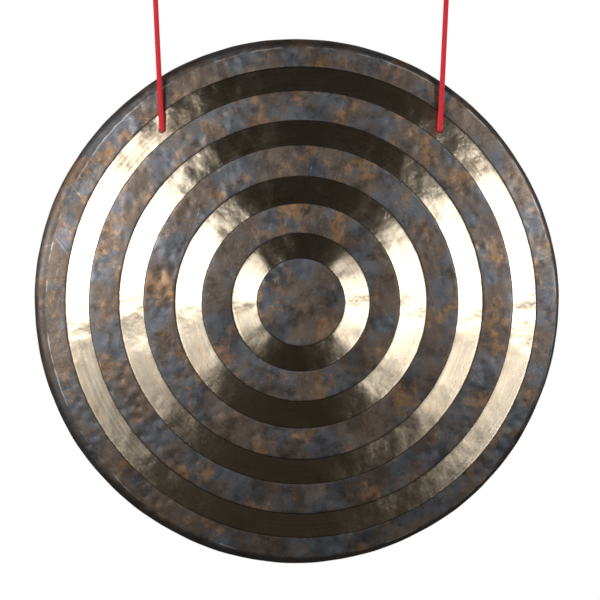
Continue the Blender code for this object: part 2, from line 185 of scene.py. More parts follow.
@dataclass
class Tube:
    """A round piece swept along a path, with domed or flat ends.

    Its sheet is rolled from a grid, so its UV map gives the place round the tube (0 to 1) and the
    place along it in metres.
    """

    name: str
    path: np.ndarray
    radius: float
    sides: int = 24
    dome_start: bool = True
    dome_end: bool = True
    dome_share: float = 1.0
    dome_angles: tuple[int, ...] = (18, 36, 54, 70, 82, 90)
    flat_angles: tuple[int, ...] = (90,)
    nearly_along: float = 0.9
    least_step: float = 1e-9
    nudge: float = 1e-3

    def outline(self) -> tuple[np.ndarray, np.ndarray]:
        """Return the swept points and the radius at each, with the ends closed.

        Returns:
            The points as rows, and their radii.
        """
        points = list(self.path)
        radii = [self.radius] * len(points)
        for at_start, dome in ((True, self.dome_start), (False, self.dome_end)):
            end, inner = (points[0], points[1]) if at_start else (points[-1], points[-2])
            out = (end - inner) / np.linalg.norm(end - inner)
            angles = np.radians(self.dome_angles if dome else self.flat_angles)
            rise = self.radius * self.dome_share if dome else 0.0
            cap = [end + out * rise * math.sin(angle) for angle in angles]
            widths = [self.radius * max(0.0, math.cos(angle)) for angle in angles]
            points = cap[::-1] + points if at_start else points + cap
            radii = widths[::-1] + radii if at_start else radii + widths
        return np.array(points), np.array(radii)

    def frames(self, points: np.ndarray) -> tuple[np.ndarray, np.ndarray]:
        """Return two directions across the path at each point, carried along without twist.

        Args:
            points: The swept points as rows.

        Returns:
            The two directions, each a row for every point.
        """
        ways = np.gradient(self.steady(points), axis=0)
        ways /= np.linalg.norm(ways, axis=1)[:, None]
        helper = (0.0, 1.0, 0.0) if abs(ways[0][1]) < self.nearly_along else (1.0, 0.0, 0.0)
        across = np.cross(ways[0], helper)
        first = []
        for way in ways:
            across = across - way * np.dot(across, way)
            across = across / np.linalg.norm(across)
            first.append(across)
        first = np.array(first)
        return first, np.cross(ways, first)

    def steady(self, points: np.ndarray) -> np.ndarray:
        """Nudge on the points that coincide, so that each has a direction.

        Args:
            points: The swept points as rows.

        Returns:
            The points, all apart.
        """
        points = points.copy()
        for index in range(1, len(points)):
            if np.linalg.norm(points[index] - points[index - 1]) < self.least_step:
                points[index] = points[index - 1] + (points[index - 1] - points[index - 2]) * self.nudge
        return points

    def lay_map(self, piece: bpy.types.Object, points: np.ndarray) -> None:
        """Rewrite the grid's UV map so that it gives the place along the tube in metres.

        Args:
            piece: The rolled grid.
            points: The swept points as rows.
        """
        layer = piece.data.uv_layers.active
        layer.name = "lay"
        places = np.empty(len(layer.uv) * 2)
        layer.uv.foreach_get("vector", places)
        places = places.reshape(-1, 2)
        last = len(points) - 1
        places[:, 1] = np.interp(places[:, 1] * last, np.arange(last + 1), distance_along(points))
        layer.uv.foreach_set("vector", places.ravel())

    def build(self) -> bpy.types.Object:
        """Roll a grid round the path.

        Returns:
            The finished piece.
        """
        points, radii = self.outline()
        first, second = self.frames(points)
        last = len(points) - 1
        deselect_all()
        bpy.ops.mesh.primitive_grid_add(x_subdivisions=self.sides, y_subdivisions=last, size=1.0)
        piece = bpy.context.active_object
        piece.name = piece.data.name = self.name
        flat = vertex_places(piece)
        ring = np.rint((flat[:, 1] + 0.5) * last).astype(int)
        turn = (flat[:, 0] + 0.5) * 2 * math.pi
        off = first[ring] * np.cos(turn)[:, None] + second[ring] * np.sin(turn)[:, None]
        move_vertices(piece, points[ring] + off * radii[ring][:, None])
        self.lay_map(piece, points)
        weld(piece)
        bpy.ops.object.shade_smooth()
        return piece


# Node helpers


class Shading:
    """Adds and links the nodes of one material or node group."""

    def __init__(self, tree: bpy.types.NodeTree) -> None:
        """Keep the tree that the nodes go into."""
        self.tree = tree

    def add(self, kind: str, inputs: dict[Any, Any] | None = None, **settings: Any) -> bpy.types.Node:
        """Add a node.

        Args:
            kind: The node's type without its ShaderNode prefix.
            inputs: A value or a socket for each named or numbered input.
            settings: The node's own settings.

        Returns:
            The new node.
        """
        node = self.tree.nodes.new("ShaderNode" + kind)
        for name, value in settings.items():
            setattr(node, name, value)
        for name, value in (inputs or {}).items():
            if isinstance(value, bpy.types.NodeSocket):
                self.tree.links.new(value, node.inputs[name])
            else:
                node.inputs[name].default_value = value
        return node

    def place(self) -> Socket:
        """Return the place on the piece, in the row frame."""
        return self.add("TexCoord").outputs["Object"]

    def math(self, operation: str, *values: Value) -> Socket:
        """Return the result of one sum on values or sockets."""
        return self.add("Math", dict(enumerate(values)), operation=operation).outputs[0]

    def scaled(self, value: Value, factor: Value) -> Socket:
        """Return a value times a factor."""
        return self.math("MULTIPLY", value, factor)

    def total(self, *values: Value) -> Socket:
        """Add up values or sockets, from the first on.

        Args:
            values: Two or more of them.

        Returns:
            Their sum.
        """
        result = values[0]
        for value in values[1:]:
            result = self.math("ADD", result, value)
        return result

    def vector(self, operation: str, *values: Socket | Color) -> Socket:
        """Return the result of one sum on vectors."""
        return self.add("VectorMath", dict(enumerate(values)), operation=operation).outputs[0]

    def noise(self, place: Socket, scale: float, detail: float = 3.0, rough: float = 0.55) -> Socket:
        """Return a noise value about 0.5 at a place."""
        wanted = {"Vector": place, "Scale": scale, "Detail": detail, "Roughness": rough}
        return self.add("TexNoise", wanted).outputs[0]

    def ramp(self, value: Value, low: float, high: float, start: float = 0.0, end: float = 1.0) -> Socket:
        """Return a value that goes smoothly from start to end as the input goes from low to high."""
        wanted = {"Value": value, "From Min": low, "From Max": high, "To Min": start, "To Max": end}
        return self.add("MapRange", wanted, interpolation_type="SMOOTHSTEP").outputs[0]

    def blend(self, share: Value, first: Socket | Color, second: Socket | Color) -> Socket:
        """Return two colours mixed by a share."""
        wanted = {0: share, 6: self.color(first), 7: self.color(second)}
        return self.add("Mix", wanted, data_type="RGBA").outputs[2]

    @staticmethod
    def color(value: Socket | Color) -> Any:
        """Return a socket as it is, and a colour with its alpha."""
        return (*value, 1.0) if isinstance(value, tuple) else value

    def stretch(self, place: Socket, scale: Color) -> Socket:
        """Return a place with its axes scaled."""
        return self.vector("MULTIPLY", place, scale)

    def bump(self, height: Socket, strength: float = 1.0) -> Socket:
        """Return the normal of a surface with a height in millimetres."""
        wanted = {"Strength": strength, "Distance": BUMP_DISTANCE, "Height": height}
        return self.add("Bump", wanted).outputs[0]


@dataclass
class Groups:
    """The node groups of the plate's two finishes, each built once.

    Each of the scratches' ways is an angle and the scale of its noise.
    """

    centre: Vector
    bands: tuple[Span, ...]
    streak_turn: float = 0.9
    fine_lines: float = 2600.0
    broad_lines: float = 420.0
    fine_noise: NoiseKind = (1.0, 2.0, 0.6)
    broad_noise: NoiseKind = (1.0, 4.0, 0.65)
    edge_noise: NoiseKind = (55.0, 4.0, 0.7)
    edge_wander: float = 0.0016
    edge_line: Span = (0.0003, 0.0011)
    scratch_ways: tuple[Span, ...] = ((0.35, 30.0), (-0.9, 22.0), (1.3, 36.0))
    scratch_thinness: Color = (1.0, 1.0, 38.0)
    scratch_detail: float = 1.0
    scratch_roughness: float = 0.4
    scratch_range: Span = (0.70, 0.76)

    def __post_init__(self) -> None:
        """Build the groups."""
        self.polar = self.polar_group()
        self.streaks = self.streak_group()
        self.edges = self.edge_group()
        self.scratches = self.scratch_group()

    @staticmethod
    def new(name: str, inputs: tuple[str, ...], outputs: tuple[str, ...]) -> tuple:
        """Start a group whose sockets all carry one number.

        Args:
            name: The group's name.
            inputs: Names of its inputs.
            outputs: Names of its outputs.

        Returns:
            The group, its helper, and its input and output nodes.
        """
        tree = bpy.data.node_groups.new(name, "ShaderNodeTree")
        for way, titles in (("INPUT", inputs), ("OUTPUT", outputs)):
            for title in titles:
                tree.interface.new_socket(title, in_out=way, socket_type="NodeSocketFloat")
        return tree, Shading(tree), tree.nodes.new("NodeGroupInput"), tree.nodes.new("NodeGroupOutput")

    def polar_group(self) -> bpy.types.NodeTree:
        """Build the group that gives the distance from the lathe's centre, and the angle round it.

        Returns:
            The group.
        """
        tree, shade, _, out = self.new("plate polar place", (), ("Radius", "Angle"))
        off = shade.vector("SUBTRACT", shade.place(), tuple(self.centre))
        parts = shade.add("SeparateXYZ", {0: off})
        across, up = parts.outputs[0], parts.outputs[2]
        squares = shade.total(shade.scaled(across, across), shade.scaled(up, up))
        tree.links.new(shade.math("SQRT", squares), out.inputs["Radius"])
        tree.links.new(shade.math("ARCTAN2", up, across), out.inputs["Angle"])
        return tree

    def streak_group(self) -> bpy.types.NodeTree:
        """Build the group that gives the fine circles that the lathe's tool left.

        Returns:
            The group.
        """
        tree, shade, given, out = self.new("lathe streaks", ("Radius", "Angle"), ("Fine", "Broad"))
        angle = given.outputs["Angle"]
        turn_x = shade.scaled(shade.math("COSINE", angle), self.streak_turn)
        turn_y = shade.scaled(shade.math("SINE", angle), self.streak_turn)
        kinds = (("Fine", self.fine_lines, self.fine_noise), ("Broad", self.broad_lines, self.broad_noise))
        for title, lines, noise in kinds:
            across = shade.scaled(given.outputs["Radius"], lines)
            place = shade.add("CombineXYZ", {0: across, 1: turn_x, 2: turn_y}).outputs[0]
            tree.links.new(shade.noise(place, *noise), out.inputs[title])
        return tree

    def edge_group(self) -> bpy.types.NodeTree:
        """Build the group that gives the thin dark line at each side of a lathed band.

        Returns:
            The group.
        """
        tree, shade, given, out = self.new("band edges", ("Radius",), ("Line",))
        wander = shade.math("SUBTRACT", shade.noise(shade.place(), *self.edge_noise), 0.5)
        radius = shade.total(given.outputs["Radius"], shade.scaled(wander, self.edge_wander))
        nearest = None
        for edge in (radius_at for band in self.bands for radius_at in band):
            gap = shade.math("ABSOLUTE", shade.math("SUBTRACT", radius, edge))
            nearest = gap if nearest is None else shade.math("MINIMUM", nearest, gap)
        tree.links.new(shade.ramp(nearest, *self.edge_line, 1.0, 0.0), out.inputs["Line"])
        return tree

    def scratch_group(self) -> bpy.types.NodeTree:
        """Build the group that gives thin scratches that run in a few directions.

        Returns:
            The group.
        """
        tree, shade, _, out = self.new("scratches", (), ("Scratch",))
        place = shade.place()
        scratches = None
        for angle, scale in self.scratch_ways:
            turned = shade.add("Mapping", {0: place, "Rotation": (0.0, angle, 0.0)}, vector_type="POINT")
            thin = shade.stretch(turned.outputs[0], self.scratch_thinness)
            lines = shade.noise(thin, scale, self.scratch_detail, self.scratch_roughness)
            line = shade.ramp(lines, *self.scratch_range)
            scratches = line if scratches is None else shade.math("MAXIMUM", scratches, line)
        tree.links.new(scratches, out.inputs["Scratch"])
        return tree

    @staticmethod
    def use(
        shade: Shading, tree: bpy.types.NodeTree, inputs: dict[str, Socket] | None = None,
    ) -> bpy.types.Node:
        """Show one of the groups in a material.

        Args:
            shade: The material's helper.
            tree: The group.
            inputs: A socket for each of the group's inputs.

        Returns:
            The group's node.
        """
        node = shade.tree.nodes.new("ShaderNodeGroup")
        node.node_tree = tree
        for name, socket in (inputs or {}).items():
            shade.tree.links.new(socket, node.inputs[name])
        return node


# Finishes


@dataclass(frozen=True)
class Finish:
    """What every finish has: a name, and a Principled shader with its constants on its own sockets."""

    name: str
    metallic: float = 0.0
    anisotropic: float = 0.0

    def start(self) -> tuple[bpy.types.Material, Shading, bpy.types.Node]:
        """Start a material.

        Returns:
            The material, its helper and its shader.
        """
        material = bpy.data.materials.new(self.name)
        material.use_nodes = True
        shader = material.node_tree.nodes["Principled BSDF"]
        shader.inputs["Metallic"].default_value = self.metallic
        shader.inputs["Anisotropic"].default_value = self.anisotropic
        return material, Shading(material.node_tree), shader

    @staticmethod
    def wire(shade: Shading, shader: bpy.types.Node, sockets: dict[str, Socket]) -> None:
        """Link sockets to the shader's inputs."""
        for name, socket in sockets.items():
            shade.tree.links.new(socket, shader.inputs[name])


@dataclass(frozen=True)
class LathedBronze(Finish):
    """Bright bronze, turned on a lathe: fine circles, golden colour, dark oxide in pits and at the edges."""

    gold: Color = (0.93, 0.81, 0.63)
    brown: Color = (0.50, 0.32, 0.15)
    oxide: Color = (0.055, 0.030, 0.016)
    dull_range: Span = (0.42, 0.74)
    dull_share: float = 0.55
    cloud_noise: NoiseKind = (22.0, 4.0)
    cloud_range: Span = (0.52, 0.78)
    cloud_share: float = 0.35
    pit_noise: NoiseKind = (520.0, 2.0)
    pit_range: Span = (0.66, 0.74)
    pit_share: float = 0.7
    edge_share: float = 0.92
    rough_range: Span = (0.25, 0.8)
    roughness: Span = (0.31, 0.44)
    edge_roughness: float = 0.20
    wave_noise: NoiseKind = (14.0, 2.0)
    wave_height: float = 3.2
    ripple_noise: NoiseKind = (70.0, 2.0)
    ripple_height: float = 0.40
    fine_height: float = 0.035
    broad_height: float = 0.10

    def tone(self, shade: Shading, broad: Socket, line: Socket) -> Socket:
        """Mix the colour.

        Args:
            shade: The material's helper.
            broad: The lathe's broad streaks.
            line: The line at a band's edge.

        Returns:
            The colour.
        """
        place = shade.place()
        dull = shade.ramp(broad, *self.dull_range)
        tone = shade.blend(shade.scaled(dull, self.dull_share), self.gold, self.brown)
        cloud = shade.ramp(shade.noise(place, *self.cloud_noise), *self.cloud_range, 0.0, self.cloud_share)
        tone = shade.blend(cloud, tone, self.brown)
        pits = shade.ramp(shade.noise(place, *self.pit_noise), *self.pit_range, 0.0, self.pit_share)
        tone = shade.blend(pits, tone, self.oxide)
        return shade.blend(shade.scaled(line, self.edge_share), tone, self.oxide)

    def relief(self, shade: Shading, fine: Socket, broad: Socket) -> Socket:
        """Add up the sheet's waves and the lathe's circles.

        Args:
            shade: The material's helper.
            fine: The lathe's fine streaks.
            broad: The lathe's broad streaks.

        Returns:
            The height in millimetres.
        """
        place = shade.place()
        return shade.total(
            shade.scaled(fine, self.fine_height),
            shade.scaled(shade.noise(place, *self.wave_noise), self.wave_height),
            shade.scaled(shade.noise(place, *self.ripple_noise), self.ripple_height),
            shade.scaled(broad, self.broad_height),
        )

    @staticmethod
    def outward(shade: Shading, centre: Vector) -> Socket:
        """Find the direction away from the lathe's centre, across its circles, turned with the plate.

        Args:
            shade: The material's helper.
            centre: The lathe's centre, in the row frame.

        Returns:
            The direction, in the world.
        """
        off = shade.vector("SUBTRACT", shade.place(), tuple(centre))
        flat = shade.stretch(off, (1.0, 0.0, 1.0))
        spaces = {"vector_type": "VECTOR", "convert_from": "OBJECT", "convert_to": "WORLD"}
        turned = shade.add("VectorTransform", {0: flat}, **spaces)
        return shade.vector("NORMALIZE", turned.outputs[0])

    def build(self, groups: Groups) -> bpy.types.Material:
        """Build the material.

        Args:
            groups: The plate's node groups.

        Returns:
            The finished material.
        """
        material, shade, shader = self.start()
        polar = groups.use(shade, groups.polar)
        places = {"Radius": polar.outputs["Radius"], "Angle": polar.outputs["Angle"]}
        streaks = groups.use(shade, groups.streaks, places)
        line = groups.use(shade, groups.edges, {"Radius": polar.outputs["Radius"]}).outputs["Line"]
        fine, broad = streaks.outputs["Fine"], streaks.outputs["Broad"]
        rough = shade.ramp(broad, *self.rough_range, *self.roughness)
        self.wire(shade, shader, {
            "Base Color": self.tone(shade, broad, line),
            "Roughness": shade.total(rough, shade.scaled(line, self.edge_roughness)),
            "Normal": shade.bump(self.relief(shade, fine, broad)),
            "Tangent": self.outward(shade, groups.centre),
        })
        return material


@dataclass(frozen=True)
class HammeredPatina(Finish):
    """Dark fired patina over hammered bronze: grey-brown and blue-grey, rust-coloured patches, dimples."""

    brown: Color = (0.100, 0.076, 0.060)
    slate: Color = (0.084, 0.090, 0.100)
    rust: Color = (0.25, 0.135, 0.062)
    soot: Color = (0.030, 0.024, 0.022)
    worn: Color = (0.34, 0.32, 0.29)
    zone_noise: NoiseKind = (20.0, 6.0, 0.68)
    zone_range: Span = (0.44, 0.58)
    rust_stretch: Color = (1.0, 1.0, 0.75)
    rust_noise: NoiseKind = (30.0, 8.0, 0.76)
    rust_range: Span = (0.52, 0.62)
    rust_share: float = 0.72
    soot_noise: NoiseKind = (58.0, 5.0, 0.72)
    soot_range: Span = (0.50, 0.66)
    soot_share: float = 0.60
    grain_noise: NoiseKind = (900.0, 3.0, 0.7)
    pale_grain: Span = (0.56, 0.78)
    pale_grain_share: float = 0.40
    dark_grain: Span = (0.46, 0.26)
    dark_grain_share: float = 0.50
    scratch_share: float = 0.20
    # The colour darkens towards soot in a ring over the rim's turn
    rim_dark_range: Span = (0.2935, 0.2975)
    rim_dark_share: float = 0.55
    crest_radius: float = 0.2955
    crest_noise: NoiseKind = (60.0, 4.0, 0.7)
    crest_wander: float = 0.004
    crest_line: Span = (0.0003, 0.0012)
    crest_share: float = 0.50
    break_noise: NoiseKind = (34.0, 3.0)
    break_range: Span = (0.44, 0.58)
    edge_share: float = 0.85
    rough_noise: NoiseKind = (30.0, 4.0)
    rough_range: Span = (0.30, 0.72)
    roughness: Span = (0.36, 0.56)
    scratch_polish: float = 0.10
    dimple_scale: float = 84.0
    dimple_height: float = 1.15
    hammer_noise: NoiseKind = (9.0, 2.0)
    hammer_range: Span = (0.36, 0.62)
    hammer_least: float = 0.25
    broad_noise: NoiseKind = (26.0, 3.0)
    broad_height: float = 0.75
    grain_height: float = 0.045
    scratch_depth: float = 0.02

    def fired(self, shade: Shading, place: Socket, grain: Socket, scratch: Socket) -> Socket:
        """Mix the patina's own colours.

        Args:
            shade: The material's helper.
            place: The place on the plate.
            grain: The fine grain.
            scratch: The scratches.

        Returns:
            The colour before the marks at the rim and at the bands.
        """
        zones = shade.ramp(shade.noise(place, *self.zone_noise), *self.zone_range)
        tone = shade.blend(zones, self.brown, self.slate)
        drawn_out = shade.stretch(place, self.rust_stretch)
        patches = shade.ramp(shade.noise(drawn_out, *self.rust_noise), *self.rust_range)
        tone = shade.blend(shade.scaled(patches, self.rust_share), tone, self.rust)
        dark = shade.ramp(shade.noise(place, *self.soot_noise), *self.soot_range, 0.0, self.soot_share)
        tone = shade.blend(dark, tone, self.soot)
        tone = shade.blend(shade.ramp(grain, *self.pale_grain, 0.0, self.pale_grain_share), tone, self.worn)
        tone = shade.blend(shade.ramp(grain, *self.dark_grain, 0.0, self.dark_grain_share), tone, self.soot)
        return shade.blend(shade.scaled(scratch, self.scratch_share), tone, self.worn)

    def crest(self, shade: Shading, place: Socket, radius: Socket) -> Socket:
        """Find the broken pale line where the rim begins to turn back.

        Args:
            shade: The material's helper.
            place: The place on the plate.
            radius: The distance from the lathe's centre.

        Returns:
            The line's mask.
        """
        stray = shade.math("SUBTRACT", shade.noise(place, *self.crest_noise), 0.5)
        about = shade.total(radius, shade.scaled(stray, self.crest_wander))
        gap = shade.math("ABSOLUTE", shade.math("SUBTRACT", about, self.crest_radius))
        broken = shade.ramp(shade.noise(place, *self.break_noise), *self.break_range)
        return shade.scaled(shade.ramp(gap, *self.crest_line, 1.0, 0.0), broken)

    def relief(self, shade: Shading, place: Socket, grain: Socket, scratch: Socket) -> Socket:
        """Add up the hammer's marks, the grain and the scratches.

        Args:
            shade: The material's helper.
            place: The place on the plate.
            grain: The fine grain.
            scratch: The scratches.

        Returns:
            The height in millimetres.
        """
        marks = shade.add("TexVoronoi", {"Vector": place, "Scale": self.dimple_scale}, feature="SMOOTH_F1")
        struck = shade.noise(place, *self.hammer_noise)
        hammered = shade.ramp(struck, *self.hammer_range, self.hammer_least, 1.0)
        dimple = shade.scaled(shade.scaled(marks.outputs["Distance"], hammered), self.dimple_height)
        broad = shade.scaled(shade.noise(place, *self.broad_noise), self.broad_height)
        height = shade.total(dimple, broad, shade.scaled(grain, self.grain_height))
        return shade.math("SUBTRACT", height, shade.scaled(scratch, self.scratch_depth))

    def build(self, groups: Groups) -> bpy.types.Material:
        """Build the material.

        Args:
            groups: The plate's node groups.

        Returns:
            The finished material.
        """
        material, shade, shader = self.start()
        radius = groups.use(shade, groups.polar).outputs["Radius"]
        line = groups.use(shade, groups.edges, {"Radius": radius}).outputs["Line"]
        scratch = groups.use(shade, groups.scratches).outputs["Scratch"]
        place = shade.place()
        grain = shade.noise(place, *self.grain_noise)
        tone = self.fired(shade, place, grain, scratch)
        # Darker towards soot in a ring from just inside the rim's turn outwards
        rim_dark = shade.ramp(radius, *self.rim_dark_range)
        tone = shade.blend(shade.scaled(rim_dark, self.rim_dark_share), tone, self.soot)
        tone = shade.blend(shade.scaled(self.crest(shade, place, radius), self.crest_share), tone, self.worn)
        tone = shade.blend(shade.scaled(line, self.edge_share), tone, self.soot)
        rough = shade.ramp(shade.noise(place, *self.rough_noise), *self.rough_range, *self.roughness)
        self.wire(shade, shader, {
            "Base Color": tone,
            "Roughness": shade.math("SUBTRACT", rough, shade.scaled(scratch, self.scratch_polish)),
            "Normal": shade.bump(self.relief(shade, place, grain, scratch)),
        })
        return material


@dataclass(frozen=True)
class BraidedCord(Finish):
    """Sixteen-strand braid of red yarn, eight strands each way, with painted shade between strands."""

    red: Color = (0.60, 0.004, 0.014)
    # Dark red: painted shade in the grooves between strands, and the darker yarn's own colour
    groove_shade_and_dark_yarn: Color = (0.19, 0.0015, 0.006)
    sheen: float = 0.08
    sheen_roughness: float = 0.4
    specular: float = 0.35
    strands: float = 8.0
    pitch: float = 0.0058
    fibres: float = 5.0
    fibre_noise: NoiseKind = (2.6, 3.0, 0.6)
    # Crown heights over which the painted shade of the grooves fades to red
    groove_shade_range: Span = (0.12, 0.62)
    deep_fibres: Span = (0.45, 0.75)
    deep_share: float = 0.35
    fibre_range: Span = (0.3, 0.7)
    roughness: Span = (0.42, 0.62)
    crown_height: float = 0.34
    fibre_height: float = 0.06

    @staticmethod
    def strand_profile(shade: Shading, across: Socket) -> Socket:
        """Return the rounded height over each strand, from a count of strands across."""
        return shade.math("SINE", shade.scaled(shade.math("FRACT", across), math.pi))

    def crown(self, shade: Shading, around: Socket, along: Socket) -> Socket:
        """Cross the strands that run each way, over and under by turns.

        Args:
            shade: The material's helper.
            around: The place round the cord, in strands.
            along: The place along the cord, in strands.

        Returns:
            How far a strand stands out, from 0 to 1.
        """
        right = shade.total(around, along)
        left = shade.math("SUBTRACT", around, along)
        squares = shade.total(shade.math("FLOOR", right), shade.math("FLOOR", left))
        over = shade.math("ABSOLUTE", shade.math("FLOORED_MODULO", squares, 2.0))
        under = shade.math("SUBTRACT", 1.0, over)
        rise_right = self.strand_profile(shade, right)
        rise_left = self.strand_profile(shade, left)
        profile = shade.total(shade.scaled(over, rise_right), shade.scaled(under, rise_left))
        return shade.scaled(profile, shade.math("MAXIMUM", rise_right, rise_left))

    def build(self) -> bpy.types.Material:
        """Build the material, which reads the piece's own UV map.

        Returns:
            The finished material.
        """
        material, shade, shader = self.start()
        shader.inputs["Sheen Weight"].default_value = self.sheen
        shader.inputs["Sheen Roughness"].default_value = self.sheen_roughness
        shader.inputs["Specular IOR Level"].default_value = self.specular
        parts = shade.add("SeparateXYZ", {0: shade.add("UVMap", uv_map="lay").outputs[0]})
        around = shade.scaled(parts.outputs[0], self.strands)
        along = shade.scaled(parts.outputs[1], self.strands / (2 * self.pitch))
        crown = self.crown(shade, around, along)
        yarn = {0: shade.scaled(around, self.fibres), 1: shade.scaled(along, self.fibres)}
        fibre = shade.noise(shade.add("CombineXYZ", yarn).outputs[0], *self.fibre_noise)
        # Painted shade: the grooves between strands darken towards the dark red, the crowns stay red
        tone = shade.blend(shade.ramp(crown, *self.groove_shade_range), self.groove_shade_and_dark_yarn, self.red)
        tone = shade.blend(shade.ramp(fibre, *self.deep_fibres, 0.0, self.deep_share), tone, self.groove_shade_and_dark_yarn)
        height = shade.total(shade.scaled(crown, self.crown_height), shade.scaled(fibre, self.fibre_height))
        self.wire(shade, shader, {
            "Base Color": tone,
            "Roughness": shade.ramp(fibre, *self.fibre_range, *self.roughness),
            "Normal": shade.bump(height),
        })
        return material


@dataclass(frozen=True)
class ZincWire(Finish):
    """Bright zinc-plated steel wire with faint drawing marks."""

    zinc: Color = (0.60, 0.61, 0.63)
    dull: Color = (0.40, 0.41, 0.42)
    drawn_stretch: Color = (160.0, 60.0, 1.0)
    drawn_noise: NoiseKind = (1.0, 3.0)
    drawn_range: Span = (0.3, 0.7)
    bloom_noise: NoiseKind = (260.0, 4.0)
    bloom_range: Span = (0.45, 0.70)
    roughness: Span = (0.18, 0.36)
    drawn_height: float = 0.02
    bloom_height: float = 0.03
    bump_strength: float = 0.7

    def build(self) -> bpy.types.Material:
        """Build the material, which reads the piece's own UV map.

        Returns:
            The finished material.
        """
        material, shade, shader = self.start()
        lay = shade.add("UVMap", uv_map="lay").outputs[0]
        drawn = shade.noise(shade.stretch(lay, self.drawn_stretch), *self.drawn_noise)
        bloom = shade.noise(shade.place(), *self.bloom_noise)
        height = shade.total(shade.scaled(drawn, self.drawn_height), shade.scaled(bloom, self.bloom_height))
        self.wire(shade, shader, {
            "Base Color": shade.blend(shade.ramp(bloom, *self.bloom_range), self.zinc, self.dull),
            "Roughness": shade.ramp(drawn, *self.drawn_range, *self.roughness),
            "Normal": shade.bump(height, self.bump_strength),
        })
        return material


@dataclass(frozen=True)
class StudioPaint(Finish):
    """Plain matt paint for the floor, the dark screen and the flag."""

    color: Color = (0.80, 0.80, 0.80)
    roughness: float = 0.85
    specular: float = 0.15
    uneven_noise: NoiseKind = (1.5, 3.0)
    darker: float = 0.96

    def build(self) -> bpy.types.Material:
        """Build the material, a little uneven as painted board is.

        Returns:
            The finished material.
        """
        material, shade, shader = self.start()
        shader.inputs["Specular IOR Level"].default_value = self.specular
        shader.inputs["Roughness"].default_value = self.roughness
        darker = tuple(self.darker * part for part in self.color)
        uneven = shade.noise(shade.place(), *self.uneven_noise)
        self.wire(shade, shader, {"Base Color": shade.blend(uneven, self.color, darker)})
        return material


# The object


